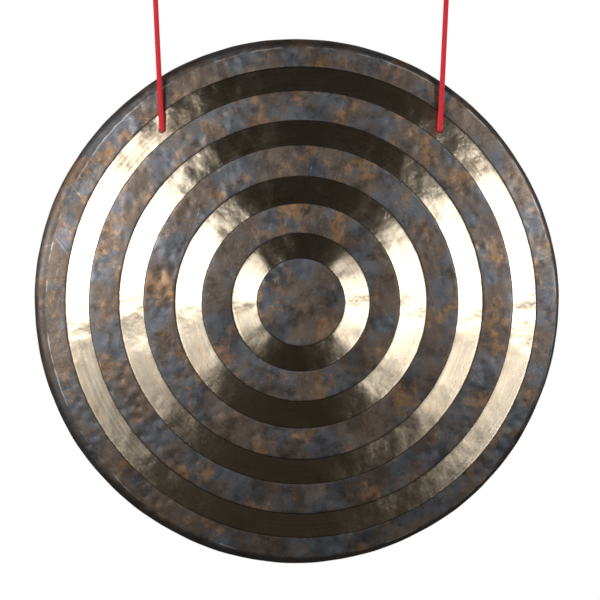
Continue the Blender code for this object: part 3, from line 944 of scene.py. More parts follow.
@dataclass
class GongPlate:
    """The dished plate with its lathed bands, turned rim and two cord holes, in the row frame.

    The swells and ripples lie in its depth, and the nicks in its edge.
    """

    radius: float = 0.305
    dome_rise: float = 0.0225
    turn_width: float = 0.009
    turn_depth: float = 0.0035
    centre_wall: float = 0.0020
    rim_wall: float = 0.0013
    edge_round: float = 0.0004
    rim_shift: Span = (-0.0050, 0.0014)
    bands: tuple[Span, ...] = ((0.0505, 0.0794), (0.1138, 0.1451), (0.1812, 0.2099), (0.2446, 0.2726))
    band_depth: float = 0.00015
    band_shoulder: float = 0.0005
    hole_spacing: float = 0.321
    hole_inset: float = 0.049
    hole_radius: float = 0.00425
    hole_chamfer: float = 0.0005
    hole_sides: int = 48
    drill_past: float = 0.002
    cord_radius: float = 0.003
    seat_gap: float = 0.0003
    hole_bend: float = 0.005
    cord_lean: float = math.radians(2.7)
    tilt_height: float = -0.282
    station: float = 0.0028
    turn_station: float = 0.0011
    back_station: float = 0.00672
    back_turn_station: float = 0.003
    steps: int = 420
    weighed_rings: int = 400
    still_middle: float = 0.05
    swells: tuple[Wave, ...] = ((0.00022, 3, 26, 0.0), (0.00016, 5, -48, 1.1))
    ripples: tuple[Wave, ...] = ((0.00009, 9, 95, 2.3), (0.00006, 17, -60, 0.0))
    nicks: tuple[Wave, ...] = ((0.00030, 7, 0, 0.7), (0.00016, 19, 0, 0.0), (0.00008, 53, 0, 0.0))
    edge_wear: float = 0.0005
    crease_angle: float = math.radians(25)

    @property
    def hole_from_centre(self) -> float:
        """Distance of a hole from the lathe's centre."""
        return self.radius - self.hole_inset

    def front_depth(self, radius: float) -> float:
        """Depth of the struck face behind its highest point."""
        turned = max(0.0, radius - (self.radius - self.turn_width)) / self.turn_width
        return self.dome_rise * (radius / self.radius) ** 2 + self.turn_depth * turned ** 2

    def wall(self, radius: float) -> float:
        """Thickness of the plate."""
        return self.centre_wall + (self.rim_wall - self.centre_wall) * (radius / self.radius) ** 2

    def hole_frame(self, side: int) -> tuple[Vector, Vector, Vector]:
        """Find one hole on the plate.

        Args:
            side: The sign of the hole's X.

        Returns:
            The hole's centre on the face, its direction to the back, and its up.
        """
        reach = self.hole_from_centre
        across = side * self.hole_spacing / 2
        centre = Vector((across, self.front_depth(reach), math.sqrt(reach ** 2 - across ** 2)))
        slope = 2 * self.dome_rise * reach / self.radius ** 2
        outward = Vector((centre.x, 0.0, centre.z)).normalized()
        back = (Vector((0.0, 1.0, 0.0)) - slope * outward).normalized()
        up = (Vector((0.0, 0.0, 1.0)) - back.z * back).normalized()
        return centre, back, up

    def strand_way(self, side: int) -> Vector:
        """Direction down a cord, from its hook to its hole."""
        return Vector((-side * math.sin(self.cord_lean), 0.0, -math.cos(self.cord_lean)))

    def corner(self, side: int) -> Vector:
        """Find where a cord's strand and its run through the hole would cross.

        Args:
            side: The sign of the cord's X.

        Returns:
            The place, on the plate.
        """
        centre, back, up = self.hole_frame(side)
        seat = self.cord_radius + self.seat_gap
        stand_off = seat + (self.hole_bend - seat) * (1 - math.sqrt(0.5))
        return centre + up * (self.hole_radius - stand_off) - back * stand_off

    def tilt_point(self, side: int) -> Vector:
        """Return where a strand starts to bend into its hole, on the plate."""
        turn = self.strand_way(side).angle(self.hole_frame(side)[1])
        return self.corner(side) - self.strand_way(side) * self.hole_bend * math.tan(turn / 2)

    def lean(self) -> float:
        """Work out the angle at which the plate hangs with its weight under the tilt axis.

        Returns:
            The angle about X.
        """
        radii = self.radius * (np.arange(self.weighed_rings) + 0.5) / self.weighed_rings
        weights = np.array([self.wall(radius) * radius for radius in radii])
        depths = np.array([self.front_depth(radius) + self.wall(radius) / 2 for radius in radii])
        point = self.tilt_point(1)
        behind = float((weights * depths).sum() / weights.sum()) - point.y
        return -math.atan2(behind, point.z - self.rim_shift[1])

    def place(self) -> Matrix:
        """Find how the plate lies.

        Returns:
            The matrix from the plate's own frame to the row frame.
        """
        point = self.tilt_point(1)
        on_axis = Matrix.Translation((0.0, -point.y, -point.z))
        lean = Matrix.Rotation(self.lean(), 4, "X")
        return Matrix.Translation((0.0, 0.0, self.tilt_height)) @ lean @ on_axis

    def centre(self) -> Vector:
        """Return the lathe's centre on the face, in the row frame."""
        return self.place() @ Vector((0.0, 0.0, 0.0))

    @staticmethod
    def stations(start: float, end: float, step: float) -> list[float]:
        """Return evenly spaced radii strictly between two others."""
        count = max(1, round((end - start) / step))
        return [start + (end - start) * index / count for index in range(1, count)]

    def section(self) -> list[Span]:
        """Return radius and depth pairs, over the face to the rim and back to the middle.

        Returns:
            The section's points; the first and the last are on the axis.
        """
        face = [(0.0, 0.0)]
        edge = 0.0
        for inner, outer in self.bands:
            between = self.stations(edge, inner, self.station)
            low, high = inner + self.band_shoulder, outer - self.band_shoulder
            floor = [low, *self.stations(low, high, self.station), high]
            face += [(radius, self.front_depth(radius)) for radius in (*between, inner)]
            face += [(radius, self.front_depth(radius) + self.band_depth) for radius in floor]
            face.append((outer, self.front_depth(outer)))
            edge = outer
        turn, last = self.radius - self.turn_width, self.radius - self.edge_round
        outside = [*self.stations(edge, turn, self.station), turn]
        outside += [*self.stations(turn, last, self.turn_station), last]
        face += [(radius, self.front_depth(radius)) for radius in outside]
        rim = [(self.radius, self.front_depth(self.radius) + self.rim_wall / 2)]
        inside = [last, *reversed(self.stations(turn, self.radius, self.back_turn_station)), turn]
        inside += reversed(self.stations(0.0, turn, self.back_station))
        back = [(radius, self.front_depth(radius) + self.wall(radius)) for radius in inside]
        return [*face, *rim, *back, (0.0, self.centre_wall)]

    def spin_section(self) -> bpy.types.Object:
        """Extrude the section from one point and spin it about the axis.

        Returns:
            The plain plate, in its own frame.
        """
        section = self.section()
        deselect_all()
        bpy.ops.mesh.primitive_plane_add(size=0.001, location=(0.0, 0.0, 0.0))
        plate = bpy.context.active_object
        plate.name = plate.data.name = "plate_dressed"
        bpy.ops.object.mode_set(mode="EDIT")
        bpy.ops.mesh.select_all(action="SELECT")
        bpy.ops.mesh.merge(type="CENTER")
        for (radius, depth), (next_radius, next_depth) in zip(section, section[1:]):
            step = (next_radius - radius, next_depth - depth, 0.0)
            bpy.ops.mesh.extrude_region_move(TRANSFORM_OT_translate={"value": step})
        bpy.ops.mesh.select_all(action="SELECT")
        bpy.ops.mesh.spin(steps=self.steps, angle=2 * math.pi, center=(0.0, 0.0, 0.0), axis=(0.0, 1.0, 0.0))
        weld(plate)
        return plate

    @staticmethod
    def waves(kinds: tuple[Wave, ...], angle: np.ndarray, radius: np.ndarray) -> np.ndarray:
        """Add up waves round the plate.

        Args:
            kinds: The waves.
            angle: Each vertex's angle round the plate.
            radius: Each vertex's distance from the lathe's centre.

        Returns:
            Their height at each vertex.
        """
        return sum(rise * np.sin(count * angle + turn * radius + start) for rise, count, turn, start in kinds)

    def hammer(self, plate: bpy.types.Object) -> None:
        """Give the spun plate its rim's shift, the smith's uneven dish and the uneven edge.

        Args:
            plate: The plain plate.
        """
        places = vertex_places(plate)
        radius = np.hypot(places[:, 0], places[:, 2])
        angle = np.arctan2(places[:, 2], places[:, 0])
        last = self.bands[-1][1]
        share = np.clip((radius - last) / (self.radius - last), 0.0, None)
        rise = np.clip(radius / self.still_middle, 0.0, 1.0)
        swell = self.waves(self.swells, angle, radius) + self.waves(self.ripples, angle, radius)
        turned = np.clip((radius - (self.radius - self.turn_width)) / self.turn_width, 0.0, 1.0)
        edge = turned * (self.waves(self.nicks, angle, radius) - self.edge_wear)
        places[:, 0] += self.rim_shift[0] * share + edge * np.cos(angle)
        places[:, 2] += self.rim_shift[1] * share + edge * np.sin(angle)
        places[:, 1] += swell * rise
        move_vertices(plate, places)

    def drill(self, plate: bpy.types.Object) -> None:
        """Drill and chamfer the two cord holes.

        Args:
            plate: The hammered plate.
        """
        for side in Side:
            centre, back, up = self.hole_frame(side.value)
            depth = self.wall(self.hole_from_centre)
            turned = Matrix((up, back.cross(up), back)).transposed().to_4x4()
            for start, end, wide_start, wide_end in self.drill_steps(depth):
                deselect_all()
                bpy.ops.mesh.primitive_cone_add(
                    vertices=self.hole_sides, radius1=wide_start, radius2=wide_end, depth=end - start,
                    location=centre + back * (start + end) / 2, rotation=turned.to_euler(),
                )
                cutter = bpy.context.active_object
                activate(plate)
                cut = plate.modifiers.new("drill", "BOOLEAN")
                cut.operation = "DIFFERENCE"
                cut.solver = "EXACT"
                cut.object = cutter
                bpy.ops.object.modifier_apply(modifier=cut.name)
                bpy.data.objects.remove(cutter, do_unlink=True)

    def drill_steps(self, depth: float) -> tuple[tuple[float, float, float, float], ...]:
        """List the drill and the countersinks of the two faces.

        Args:
            depth: Thickness of the plate at the hole.

        Returns:
            Start, end and the radius at each, for the three cutters.
        """
        past = self.drill_past
        wide = self.hole_radius + self.hole_chamfer + past
        return (
            (-past, depth + past, self.hole_radius, self.hole_radius),
            (-past, self.hole_chamfer, wide, self.hole_radius),
            (depth - self.hole_chamfer, depth + past, self.hole_radius, wide),
        )

    def dress(self, plate: bpy.types.Object, patina: bpy.types.Material, bronze: bpy.types.Material) -> None:
        """Give the bands on the struck face the lathed finish, and the rest the patina.

        Args:
            plate: The drilled plate.
            patina: Finish of the hammered zones and the back.
            bronze: Finish of the lathed bands.
        """
        plate.data.materials.clear()
        plate.data.materials.append(patina)
        plate.data.materials.append(bronze)
        for face in plate.data.polygons:
            middle = face.center
            radius = math.hypot(middle.x, middle.z)
            in_band = any(inner < radius < outer for inner, outer in self.bands)
            on_face = middle.y < self.front_depth(min(radius, self.radius)) + self.centre_wall / 3
            face.material_index = int(in_band and on_face and face.normal.y < 0)

    def build(self, patina: bpy.types.Material, bronze: bpy.types.Material) -> bpy.types.Object:
        """Build and dress the plate.

        Args:
            patina: Finish of the hammered zones and the back.
            bronze: Finish of the lathed bands.

        Returns:
            The finished plate, riding on the gong.
        """
        plate = self.spin_section()
        self.hammer(plate)
        self.drill(plate)
        self.dress(plate, patina, bronze)
        activate(plate)
        bpy.ops.object.shade_smooth_by_angle(angle=self.crease_angle)
        plate.data.transform(self.place())
        plate.data.update()
        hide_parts("gong_plate")
        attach(plate, "gong")
        LOG.info("%s: %d faces", plate.name, len(plate.data.polygons))
        return plate


@dataclass
class Knots:
    """Knots in cord widths: the two half hitches of an eye, and the overhand stopper."""

    point_step: float = 0.25
    turn_reach: int = 6
    near_reach: float = 1.6
    bend_step: int = 4
    bend_chord: float = 0.92
    renew_every: int = 8
    edge_pull: float = 0.5
    bend_pull: float = 0.25
    turn_push: float = 0.3
    tied_radius: float = 2.5
    tied_height: float = 3.0
    hitch_slide: float = 0.006
    least_length: float = 0.01
    rest_passes: int = 60
    pull_passes: int = 8

    def near_turns(self, path: np.ndarray, reach: float) -> tuple[np.ndarray, np.ndarray]:
        """Find the pairs of points of other turns that are within reach of each other.

        Args:
            path: Points as rows.
            reach: The greatest gap.

        Returns:
            The first and the second point of each pair.
        """
        gaps = np.linalg.norm(path[:, None, :] - path[None, :, :], axis=2)
        first, second = np.nonzero(gaps < reach)
        apart = second - first >= self.turn_reach
        return first[apart], second[apart]

    def moves(self, path: np.ndarray, first: np.ndarray, second: np.ndarray) -> np.ndarray:
        """Work out one pass that evens out the points, opens the bends and parts the turns.

        Args:
            path: Points as rows.
            first: The first point of each pair of near turns.
            second: The second point of each pair.

        Returns:
            How far each point moves.
        """
        move = np.zeros_like(path)
        edge = path[1:] - path[:-1]
        length = np.linalg.norm(edge, axis=1)
        fix = edge * (self.edge_pull * (length - self.point_step) / length)[:, None]
        move[:-1] += fix
        move[1:] -= fix
        chord = path[self.bend_step:] - path[:-self.bend_step]
        length = np.linalg.norm(chord, axis=1)
        fix = chord * (self.bend_pull * np.clip(self.bend_chord - length, 0.0, None) / length)[:, None]
        move[self.bend_step:] += fix
        move[:-self.bend_step] -= fix
        gap = path[first] - path[second]
        length = np.linalg.norm(gap, axis=1)
        fix = gap * (self.turn_push * np.clip(1.0 - length, 0.0, None) / length)[:, None]
        np.add.at(move, first, fix)
        np.add.at(move, second, -fix)
        return move

    def strand_moves(self, path: np.ndarray) -> np.ndarray:
        """Work out how a strand along Z holds the turns off, and how they slide together on it.

        Args:
            path: Points as rows.

        Returns:
            How far each point moves.
        """
        off = path * np.array((1.0, 1.0, 0.0))
        length = np.maximum(np.linalg.norm(off, axis=1), self.least_length)
        move = off * (np.clip(1.0 - length, 0.0, None) / length)[:, None]
        tied = (length < self.tied_radius) & (np.abs(path[:, 2]) < self.tied_height)
        move[:, 2] -= self.hitch_slide * np.clip(path[:, 2], -1.0, 1.0) * tied
        return move

    def settle(self, path: np.ndarray, ends: list | None, passes: int, around_strand: bool) -> np.ndarray:
        """Even out the points, keep the turns a width apart and the bends open.

        Args:
            path: Points as rows.
            ends: Where the two end points are held, or None.
            passes: How many times each point is moved.
            around_strand: Whether the turns are tied round a strand along Z.

        Returns:
            The settled points.
        """
        for count in range(passes):
            if count % self.renew_every == 0:
                first, second = self.near_turns(path, self.near_reach)
            move = self.moves(path, first, second)
            if around_strand:
                move += self.strand_moves(path)
            path = path + move
            if ends is not None:
                path[0], path[-1] = ends
        return path

    def draw_tight(
        self, path: np.ndarray, pulls: tuple[Color, Color], steps: int, around_strand: bool = False,
    ) -> np.ndarray:
        """Pull a loose knot's two ends by a little at each step, then let it rest.

        Args:
            path: The loose knot's points.
            pulls: How far each end moves at each step.
            steps: How many steps.
            around_strand: Whether the knot is tied round a strand along Z.

        Returns:
            The tight knot's points.
        """
        path = resample(path, self.point_step)
        ends = [path[0].copy(), path[-1].copy()]
        path = self.settle(path, ends, self.rest_passes, around_strand)
        for _ in range(steps):
            ends = [end + np.array(pull) for end, pull in zip(ends, pulls)]
            path = self.settle(path, ends, self.pull_passes, around_strand)
        return self.settle(path, None, self.rest_passes, around_strand)

    @staticmethod
    def bow(start: Color, middle: Color, end: Color, count: int = 30) -> np.ndarray:
        """Draw a curve that leaves start and reaches end past middle.

        Args:
            start: First point.
            middle: The point that the curve bends towards.
            end: Last point.
            count: How many points.

        Returns:
            The curve's points.
        """
        share = np.linspace(0.0, 1.0, count)[:, None]
        start, middle, end = (np.array(point, dtype=float) for point in (start, middle, end))
        return (1 - share) ** 2 * start + 2 * share * (1 - share) * middle + share ** 2 * end

    def overhand(self) -> np.ndarray:
        """Tie an overhand knot whose ends leave along +X and -X.

        Returns:
            The tight knot's points.
        """
        open_angle, lobe, lobe_points = 0.9, 0.85, 160
        end, lead, under = 3.5, 1.4, -1.6
        pull, steps = 0.01, 526
        turn = np.linspace(math.pi + open_angle, 3 * math.pi - open_angle, lobe_points)
        across = np.sin(turn) + 2 * np.sin(2 * turn)
        upward = np.cos(turn) - 2 * np.cos(2 * turn)
        lobes = lobe * np.stack([across, upward, -np.sin(3 * turn)], axis=1)
        first = self.bow((end, under, 0.0), (lead, under, 0.0), lobes[0])
        last = self.bow(lobes[-1], (-lead, under, 0.0), (-end, under, 0.0))
        loose = np.concatenate((first[:-1], lobes, last[1:]))
        return self.draw_tight(loose, ((pull, 0.0, 0.0), (-pull, 0.0, 0.0)), steps)

    def half_hitches(self) -> np.ndarray:
        """Tie two half hitches round a strand that stands along Z.

        Each turn is an angle round the strand, a height and a distance from it.

        Returns:
            The tight hitches' points.
        """
        turns = (
            (0, 6.0, 1.6), (0, 3.2, 2.2), (20, 1.6, 2.2), (50, 0.5, 1.5), (90, 0.0, 1.15), (180, 0.1, 1.15),
            (270, 0.6, 1.15), (330, 1.3, 1.15), (360, 1.5, 1.15), (390, 1.6, 1.4), (410, 1.2, 2.1),
            (420, 0.3, 2.3), (424, -0.8, 2.3), (430, -1.7, 2.1), (455, -2.3, 1.4), (540, -2.3, 1.15),
            (630, -1.8, 1.15), (700, -1.25, 1.15), (745, -1.15, 1.15), (790, -1.15, 1.15),
            (825, -1.2, 1.5), (850, -1.8, 2.2), (858, -2.8, 2.4), (862, -5.5, 2.4),
        )
        loose_points, steps = 400, 420
        pulls = ((-0.001, 0.0, 0.006), (0.001, 0.001, -0.006))
        angle, height, away = np.array(turns, dtype=float).T
        at = np.linspace(0, len(turns) - 1, loose_points)
        order = np.arange(len(turns))
        angle, height, away = (np.interp(at, order, values) for values in (np.radians(angle), height, away))
        loose = np.stack([away * np.cos(angle), -away * np.sin(angle), height], axis=1)
        return self.draw_tight(loose, pulls, steps, around_strand=True)


@dataclass
class HungCords:
    """The two braided cords: strand and eye, half hitches, and the stopper knot behind the plate."""

    plate: GongPlate
    width: float = 0.006
    knot_slack: float = 0.0005
    seat_gap: float = 0.0003
    drop: float = 0.2300
    eye_radius: float = 0.0090
    eye_length: float = 0.028
    hitch_top: float = 2.0
    loop_tail: float = 0.012
    stopper_tail: float = 0.021
    tail_bend: float = 0.018
    wire_radius: float = 0.002
    low_bend: float = 0.010
    swing_height: float = -0.052
    touch_reach: float = 1.2
    braid_sides: int = 28
    strand_points: int = 90
    opening_points: int = 24
    crown_points: int = 40
    closing_points: int = 18
    hole_turn_parts: int = 10
    hole_run_points: int = 7
    tail_parts: int = 14
    knots: Knots = field(default_factory=Knots)

    def __post_init__(self) -> None:
        """Work out the knots once, for both cords."""
        self.pitch = self.width + self.knot_slack
        self.cord_radius = self.width / 2
        self.hitch = self.knots.half_hitches()
        self.overhand = self.knots.overhand()

    def to_row(self, side: int, points: np.ndarray) -> np.ndarray:
        """Put points that are given from a strand's foot into the row frame.

        Args:
            side: The sign of the cord's X.
            points: Across, behind and up the strand, as rows.

        Returns:
            The points in the row frame.
        """
        up = -self.plate.strand_way(side)
        across = np.array(Vector((0.0, 1.0, 0.0)).cross(up).normalized())
        foot = np.array((self.plate.tilt_point(side).x, 0.0, self.plate.tilt_height))
        behind = np.array((0.0, 1.0, 0.0))
        return foot + points[:, :1] * across + points[:, 1:2] * behind + points[:, 2:] * np.array(up)

    @staticmethod
    def join(
        start: np.ndarray, start_way: np.ndarray, end: np.ndarray, end_way: np.ndarray, count: int,
    ) -> np.ndarray:
        """Lay a smooth cord between two points.

        Args:
            start: First point.
            start_way: The cord's direction there.
            end: Last point.
            end_way: The cord's direction there.
            count: How many points.

        Returns:
            The cord's points.
        """
        share = np.linspace(0.0, 1.0, count)[:, None]
        reach = np.linalg.norm(end - start)
        start_way = start_way * reach / np.linalg.norm(start_way)
        end_way = end_way * reach / np.linalg.norm(end_way)
        near = (1 + 2 * share) * (1 - share) ** 2 * start + share * (1 - share) ** 2 * start_way
        far = share ** 2 * (3 - 2 * share) * end - share ** 2 * (1 - share) * end_way
        return near + far

    def apex(self) -> float:
        """Height of the eye's top above the strand's foot."""
        seat = self.low_bend - self.wire_radius - self.seat_gap - self.cord_radius
        return self.drop / math.cos(self.plate.cord_lean) - seat

    def hitch_height(self) -> float:
        """Height of the hitches' middle above the strand's foot."""
        return self.apex() - self.eye_length - self.hitch_top * self.pitch

    def eye_route(self, top: np.ndarray, way: np.ndarray) -> np.ndarray:
        """Return the cord from its foot up its strand and round its eye to the hitches.

        Args:
            top: Where the hitches begin.
            way: The cord's direction there.

        Returns:
            The route's points, across, behind and up the strand.
        """
        middle = self.apex() - self.eye_radius
        leave = self.hitch_height() + self.hitch_top * self.pitch
        up = np.array((0.0, 0.0, 1.0))
        angles = np.linspace(math.pi, 0.0, self.crown_points)
        rise = middle + self.eye_radius * np.sin(angles)
        crown = np.stack([self.eye_radius * np.cos(angles), 0 * angles, rise], axis=1)
        straight = np.zeros(self.strand_points)
        strand = np.stack([straight, straight, np.linspace(0.0, leave, self.strand_points)], axis=1)
        out = self.join(strand[-1], up, crown[0], up, self.opening_points)
        fall = self.join(crown[-1], -up, top, way, self.closing_points)
        return np.concatenate((strand[:-1], out[:-1], crown[:-1], fall))

    def hitch_turns(self) -> np.ndarray:
        """Cut the hitches where the eye runs in and where their tail runs out.

        Returns:
            The turns' points, across, behind and up the strand.
        """
        first = np.nonzero(self.hitch[:, 2] < self.hitch_top)[0][0]
        last = np.nonzero(np.hypot(self.hitch[:, 0], self.hitch[:, 1]) < self.touch_reach)[0][-1]
        turns = self.hitch[first:last + 1] * self.pitch
        turns[:, 2] += self.hitch_height()
        return turns

    def build_strand(self, side: Side, braid: bpy.types.Material) -> bpy.types.Object:
        """Args:
            side: Which cord.
            braid: The cord's finish.

        Returns:
            The finished strand.
        """
        turns = self.hitch_turns()
        route = self.to_row(side.value, self.eye_route(turns[0], turns[1] - turns[0]))
        name = "cord_dressed_" + side.word
        strand = Tube(name, route, self.cord_radius, self.braid_sides, dome_end=False).build()
        strand.data.materials.append(braid)
        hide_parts("cord_" + side.word)
        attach(strand, "cords")
        LOG.info("%s: %.3f m", strand.name, path_length(route))
        return strand

    def build_hitches(self, side: Side, braid: bpy.types.Material) -> bpy.types.Object:
        """Build the two half hitches that close an eye, with their tail.

        Args:
            side: Which cord.
            braid: The cord's finish.

        Returns:
            The finished knot.
        """
        turns = self.hitch_turns()
        tail_way = (turns[-1] - turns[-2]) / np.linalg.norm(turns[-1] - turns[-2])
        tail = [turns[-1] + tail_way * self.loop_tail * share for share in (0.2, 0.4, 0.6, 0.8, 1.0)]
        path = smooth_path(self.to_row(side.value, np.array([*turns, *tail])), 2)
        name = "half_hitches_" + side.word
        knot = Tube(name, path, self.cord_radius, self.braid_sides, dome_start=False).build()
        knot.data.materials.append(braid)
        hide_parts("loop_knot_" + side.word)
        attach(knot, "cords")
        LOG.info("%s: %d faces", knot.name, len(knot.data.polygons))
        return knot

    @staticmethod
    def arc(middle: Vector, way: Vector, inward: Vector, bend: float, angles: list[float]) -> list[Vector]:
        """Return points round a bend's middle, from a way that has the middle on its inward side."""
        return [middle + (way * math.sin(angle) - inward * math.cos(angle)) * bend for angle in angles]

    def hole_turn(self, side: int) -> list[Vector]:
        """Bend the cord from its strand into the hole.

        Args:
            side: The sign of the cord's X.

        Returns:
            The bend's points, on the plate.
        """
        back = self.plate.hole_frame(side)[1]
        down = self.plate.strand_way(side)
        turn = down.angle(back)
        inward = (back - down * math.cos(turn)).normalized()
        middle = self.plate.tilt_point(side) + inward * self.plate.hole_bend
        angles = [turn * step / self.hole_turn_parts for step in range(self.hole_turn_parts + 1)]
        return self.arc(middle, down, inward, self.plate.hole_bend, angles)

    def stopper_turns(self, side: int) -> list[Vector]:
        """Seat the overhand knot against the plate's back, behind the hole.

        Args:
            side: The sign of the cord's X.

        Returns:
            The knot's points, on the plate.
        """
        centre, back, up = self.plate.hole_frame(side)
        sideways = up.cross(back)
        start = self.plate.corner(side)
        touching = self.knots.near_turns(self.overhand, self.touch_reach)
        first, last = min(touching[0]), max(touching[1])
        from_axis = self.overhand[first] * np.array((0.0, 1.0, 1.0))
        turns = (self.overhand[first:last + 1] - from_axis) * self.pitch
        turns[:, 0] *= -1
        seat = self.plate.wall(self.plate.hole_from_centre) + self.cord_radius + self.seat_gap
        turns[:, 0] += seat - (start - centre).dot(back) - turns[:, 0].min()
        return [start + back * float(along) + sideways * float(a) + up * float(b) for along, a, b in turns]

    def stopper_tail_points(self, places: list[Vector]) -> list[Vector]:
        """Let the free tail droop from the knot's last turn.

        Args:
            places: The knot's points, on the plate.

        Returns:
            The tail's points, on the plate.
        """
        leave = (places[-1] - places[-2]).normalized()
        droop = (Vector((0.0, 0.0, -1.0)) + leave * leave.z).normalized()
        middle = places[-1] + droop * self.tail_bend
        swept = self.stopper_tail / self.tail_bend
        angles = [swept * step / self.tail_parts for step in range(1, self.tail_parts + 1)]
        return self.arc(middle, leave, droop, self.tail_bend, angles)

    def build_stopper(self, side: Side, braid: bpy.types.Material) -> bpy.types.Object:
        """Build the cord's run through the plate, its overhand knot and its free tail.

        Args:
            side: Which cord.
            braid: The cord's finish.

        Returns:
            The finished knot, riding on the gong.
        """
        back = self.plate.hole_frame(side.value)[1]
        bend = self.hole_turn(side.value)
        places = self.stopper_turns(side.value)
        ends = (np.array(part) for part in (bend[-1], back, places[0], places[1] - places[0]))
        run = self.join(*ends, self.hole_run_points)
        tail = self.stopper_tail_points(places)
        on_plate = np.array([*bend[:-1], *run[:-1], *places, *tail])
        matrix = np.array(self.plate.place())
        path = smooth_path(on_plate @ matrix[:3, :3].T + matrix[:3, 3], 2)
        knot = Tube("overhand_stopper_" + side.word, path, self.cord_radius, self.braid_sides).build()
        knot.data.materials.append(braid)
        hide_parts("stopper_knot_" + side.word)
        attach(knot, "gong")
        LOG.info("%s: %d faces", knot.name, len(knot.data.polygons))
        return knot

    def build(self, braid: bpy.types.Material) -> None:
        """Build both cords with all their knots.

        Args:
            braid: The cords' finish.
        """
        for side in Side:
            hitches = self.build_hitches(side, braid)
            self.build_strand(side, braid)
            self.build_stopper(side, braid)


@dataclass
class SHook:
    """One S-hook of round wire over a cord's eye."""

    side: Side
    cords: HungCords
    top_bend: float = 0.014
    bend_distance: float = 0.040
    tip: float = 0.005
    wire_step: float = 0.0009
    end_dome: float = 0.5
    sides: int = 24
    low_points: int = 49
    top_points: int = 53

    def path(self) -> np.ndarray:
        """Lay out the wire, up its short tip, round both bends and down the other tip.

        Returns:
            The wire's points, in the row frame.
        """
        low = self.cords.low_bend
        apart = math.acos((low + self.top_bend) / self.bend_distance)
        start = math.pi + math.pi / 2 - apart
        low_angles = np.linspace(math.pi, math.pi + start, self.low_points)
        low_part = np.stack([0 * low_angles, low * np.cos(low_angles), low * np.sin(low_angles)], axis=1)
        top_angles = np.linspace(start, 0.0, self.top_points)
        behind = self.top_bend * np.cos(top_angles)
        upward = self.bend_distance + self.top_bend * np.sin(top_angles)
        top_part = np.stack([0 * top_angles, behind, upward], axis=1)
        first = np.array([(0.0, -low, self.tip), (0.0, -low, 0.5 * self.tip)])
        last = np.array([(0.0, self.top_bend, self.bend_distance - part * self.tip) for part in (0.5, 1.0)])
        reach = self.cords.drop / math.cos(self.cords.plate.cord_lean)
        sign = self.side.value
        across = self.cords.plate.tilt_point(sign).x + sign * reach * math.sin(self.cords.plate.cord_lean)
        return np.concatenate((first, low_part, top_part, last)) + (across, 0.0, self.cords.swing_height)

    def build(self, steel: bpy.types.Material) -> bpy.types.Object:
        """Build the hook.

        Args:
            steel: The wire's finish.

        Returns:
            The finished hook.
        """
        name = "s_hook_dressed_" + self.side.word
        path = resample(self.path(), self.wire_step)
        hook = Tube(name, path, self.cords.wire_radius, self.sides, dome_share=self.end_dome).build()
        hook.data.materials.append(steel)
        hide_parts("s_hook_" + self.side.word)
        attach(hook, "hooks")
        LOG.info("%s: %d faces", hook.name, len(hook.data.polygons))
        return hook


@dataclass
class Softbox:
    """An area lamp seen from the plate's middle at an angle round it and an angle off its axis."""

    name: str
    around: float
    off_axis: float
    distance: float
    width: float
    height: float
    power: float
    roll: float

    def build(self, target: Vector) -> bpy.types.Object:
        """Add the lamp, turned to the target.

        Args:
            target: The plate's middle.

        Returns:
            The lamp.
        """
        around, off = math.radians(self.around), math.radians(self.off_axis)
        way = Vector((math.sin(off) * math.cos(around), -math.cos(off), math.sin(off) * math.sin(around)))
        deselect_all()
        bpy.ops.object.light_add(type="AREA", location=target + way * self.distance)
        lamp = bpy.context.active_object
        lamp.name = self.name
        lamp.rotation_euler = (-way).to_track_quat("-Z", "Y").to_euler()
        lamp.rotation_euler.rotate_axis("Z", math.radians(self.roll))
        lamp.data.shape = "RECTANGLE"
        lamp.data.size = self.width
        lamp.data.size_y = self.height
        lamp.data.energy = self.power
        return lamp


